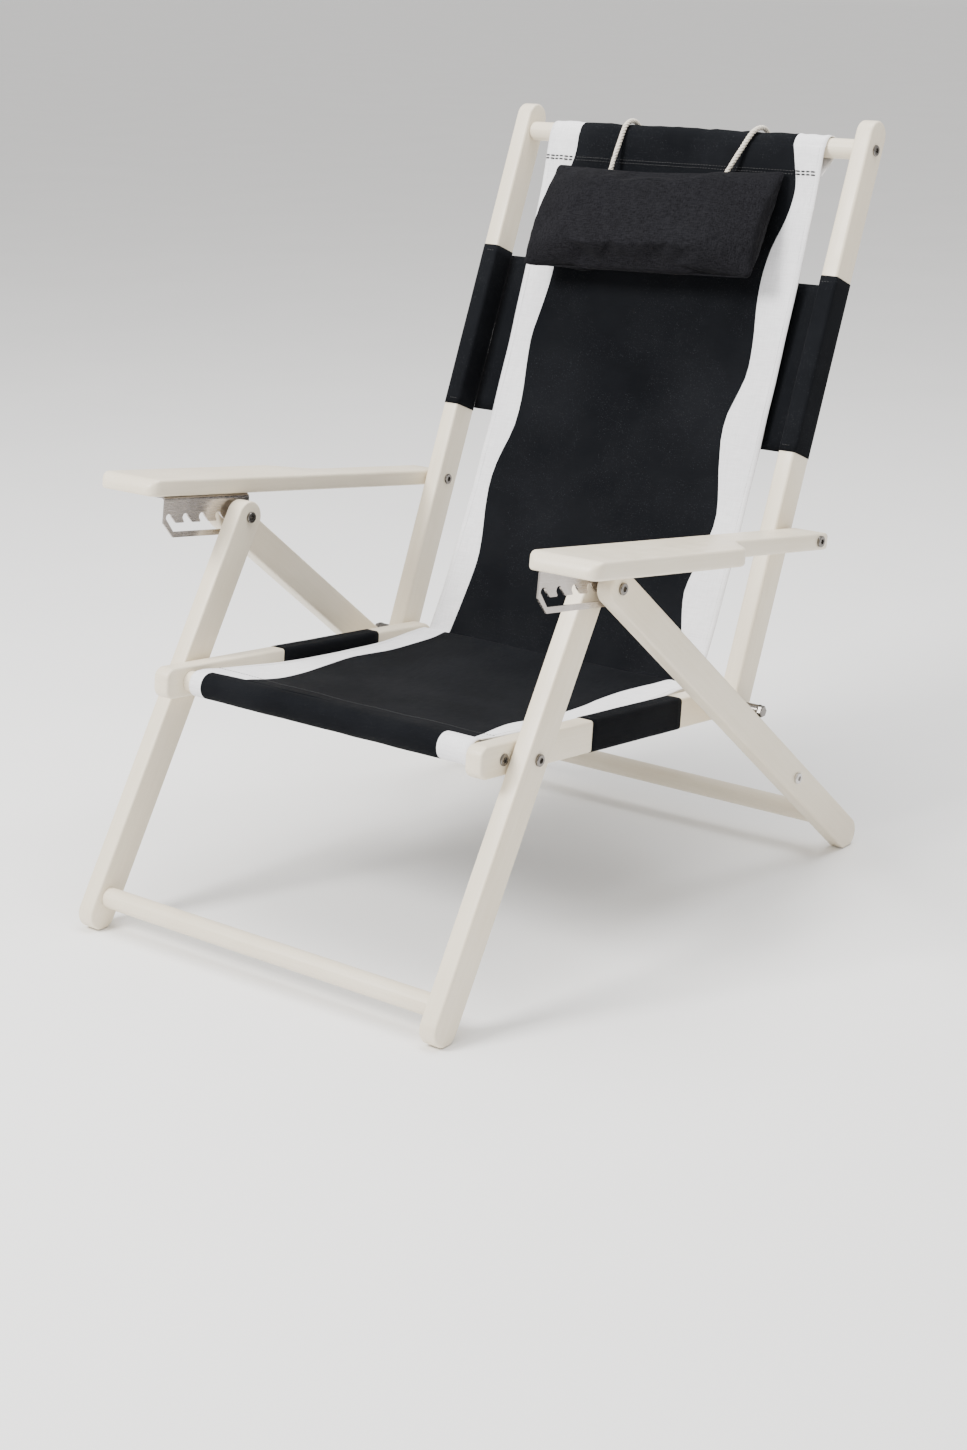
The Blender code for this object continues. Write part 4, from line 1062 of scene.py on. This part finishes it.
def rest_on_sling(item):
    """Flatten the pillow's back against the sling."""
    for v in item.data.vertices:
        away = Vector(v.co.yz) - TOP_DOWEL
        forward, down = away.dot(BACK_FRONT), -away.dot(BACK_DIR)
        u = v.co.x / SLING_HALF_WIDTH
        surface = curve_at(BACK_RUN, down) - 0.0022 * (1.0 - u * u)
        least = max(surface + 0.0022, 0.0040)
        if forward < least:
            v.co.y += BACK_FRONT.x * (least - forward)
            v.co.z += BACK_FRONT.y * (least - forward)


def pillow_place():
    """Where the pillow hangs: tilted a little, with its foot further forward than its head."""
    across = Vector((1.0, 0.0, 0.0))
    down, forward = in_space(-BACK_DIR), in_space(BACK_FRONT)
    tilt = math.radians(PILLOW_TILT)
    axis_x = across * math.cos(tilt) - down * math.sin(tilt)
    axis_y = down * math.cos(tilt) + across * math.sin(tilt)
    lean = Matrix.Rotation(math.radians(PILLOW_LEAN), 3, axis_x)
    place = Matrix((axis_x, lean @ axis_y, lean @ forward)).transposed().to_4x4()
    place.translation = in_space(back_point(PILLOW_DOWN, PILLOW_FORWARD), PILLOW_CENTRE_X)
    return place


def pillow(cloth):
    item = add("pillow_look", pillow_start(), [cloth], "back_frame")
    puff(item)
    straighten(item)
    settle(item)
    subdivide = item.modifiers.new("smooth", "SUBSURF")
    subdivide.levels = subdivide.render_levels = 1
    freeze(item)
    item.data.materials.clear()
    item.data.materials.append(cloth)
    place = pillow_place()
    item.data.transform(place)
    rest_on_sling(item)
    item.data.shade_smooth()
    item.data.update()
    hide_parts("pillow")
    shape = bmesh.new()
    add_tube(shape, seam_points(place), 0.0011, 7, closed=True)
    add("pillow_seam", finish_mesh(shape, "pillow_seam"), [cloth], "back_frame")


def seam_points(place):
    """Middle of the rolled seam round the pillow's rim."""
    points = []
    for k in range(200):
        t = math.tau * k / 200
        c, s = math.cos(t), math.sin(t)
        reach = 1.0 / max(abs(c), abs(s))
        u, v = c * reach, s * reach
        x, y = pillow_edge(u, v)
        x, y = x * u * PILLOW_FINAL_HALF[0], y * v * PILLOW_FINAL_HALF[1]
        points.append(place @ Vector((x * 0.994, y * 0.990, 0.0003 * math.sin(k * 1.7))))
    return points


def add_tube(shape, points, radius, sides, closed=False):
    """Add a round tube along 3-D points to a bmesh."""
    rings = []
    side = None
    count = len(points)
    for k, p in enumerate(points):
        before = points[k - 1] if closed or k else points[0]
        after = points[(k + 1) % count] if closed or k < count - 1 else points[-1]
        along = (after - before).normalized()
        if side is None:
            side = along.orthogonal().normalized()
        side = (side - along * side.dot(along)).normalized()
        up = along.cross(side)
        ring = []
        for a in range(sides):
            turn = math.tau * a / sides
            ring.append(shape.verts.new(p + (side * math.cos(turn) + up * math.sin(turn)) * radius))
        rings.append(ring)
    skin(shape, rings, closed)


# ---- ropes
ROPE_REACH, ROPE_DIAMETER = 0.0192, 0.0068
# X at the dowel, X at the foot, and the foot below the dowel.
ROPES = {"left": (0.1030, 0.0800, 0.0438), "right": (-0.0860, -0.0890, 0.0490)}
ROPE_SEWN_IN = 0.0044


def rope_path(side):
    """The route's points: pillow's top seam, over the dowel, down to the hem's seam behind the sling."""
    top_x, foot_x, foot_down = ROPES[side]
    foot = [(foot_down + ROPE_SEWN_IN, 0.0225), (0.0300, 0.0216), (0.0150, 0.0204)]
    turn = [(-math.sin(a) * ROPE_REACH, math.cos(a) * ROPE_REACH)
            for a in [math.radians(30.0 * step) for step in range(7)]]
    tail = [(0.0100, -0.0176), (0.0200, -0.0105), (0.0300, -0.0037), (0.0400, 0.0028)]
    points = []
    for down, forward in foot + turn + tail:
        share = (down + ROPE_REACH) / (foot_down + ROPE_REACH) if forward > 0.0 else 0.0
        points.append(in_space(back_point(down, forward), top_x + (foot_x - top_x) * share))
    return smooth_path(points, 8)


def ropes(material):
    """Three-strand twisted ropes."""
    strand, lay, pitch = 0.00150, 0.00185, 0.0125
    for side in ("left", "right"):
        path = rope_path(side)
        run = lengths(path)
        shape = bmesh.new()
        for k in range(3):
            points = []
            guide = None
            for i, p in enumerate(path):
                along = (path[min(i + 1, len(path) - 1)] - path[max(i - 1, 0)]).normalized()
                if guide is None:
                    guide = along.orthogonal().normalized()
                guide = (guide - along * guide.dot(along)).normalized()
                turn = math.tau * (run[i] / pitch + k / 3)
                points.append(p + (guide * math.cos(turn) + along.cross(guide) * math.sin(turn)) * lay)
            add_tube(shape, points, strand, 8)
        item = add("pillow_rope_%s_look" % side, finish_mesh(shape, "rope"), [material], "back_frame")
        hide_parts("pillow_rope_" + side)
        spine = path[::4] + ([path[-1]] if (len(path) - 1) % 4 else [])
        tuple(path[0])
        [tuple(p) for p in spine]


# ---- build


def dress_cad(steel, dowel):
    """Give the CAD nodes that stay on show their finish. The rear legs' bolts keep the CAD's own steel."""
    for name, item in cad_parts.items():
        if any(word in name for word in ("screw", "bolt", "nut", "pivot_sleeve")):
            material = steel
        elif "stretcher" in name or "dowel" in name:
            material = dowel
        else:
            continue
        if name.startswith("rear_leg"):
            continue
        item.data.materials.clear()
        item.data.materials.append(material)


camera()
studio()
ropes(fibre("cotton_rope", (0.60, 0.54, 0.44), (0.86, 0.81, 0.72)))
plate = steel_material("stainless_plate", (0.50, 0.46, 0.43), 0.24)
bright = steel_material("stainless_bolt", (0.22, 0.205, 0.19), 0.22)
dress_cad(bright, dowel_wood())
rails()
both_sides("arm", "arm", arm_shape, wood(4, ARM_ANGLE), "arms", 45.0)
both_sides("arm_bracket", "arm_bracket", bracket_shape, plate, "arms", 35.0)
pivot_ends(bright)
BLACK = (0.0042, 0.0048, 0.0062), (0.0088, 0.0096, 0.0116)
WHITE = (0.84, 0.84, 0.875), (0.93, 0.93, 0.95)
black_back = canvas("black_canvas_back", *BLACK, BACK_ANGLE, 0.5)
white_back = canvas("white_canvas_back", *WHITE, BACK_ANGLE)
black_seat = canvas("black_canvas_seat", *BLACK, SEAT_ANGLE, 0.15)
white_seat = canvas("white_canvas_seat", *WHITE, SEAT_ANGLE)
white_thread = fibre("white_thread", (0.70, 0.70, 0.72), (0.84, 0.84, 0.86))
dark_thread = fibre("dark_thread", (0.004, 0.004, 0.005), (0.012, 0.012, 0.014))
build_slings(black_back, white_back, black_seat, white_seat, white_thread, dark_thread)
back_span = [back_point(down, 0.0) for down in BACK_SLEEVE_SPAN]
seat_span = [SEAT_PIVOT + SEAT_DIR * along for along in SEAT_SLEEVE_SPAN]
rail_sleeve("back_sleeve", "back_frame", back_span, BACK_FRONT, BACK_RAIL_HALF, BACK_RAIL_X, black_back,
            dark_thread)
rail_sleeve("seat_sleeve", "seat_frame", seat_span, SEAT_UP, SEAT_RAIL_HALF, SEAT_RAIL_X, black_seat,
            dark_thread)
pouch(black_back, dark_thread)
band(black_seat, dark_thread)
pillow(linen())
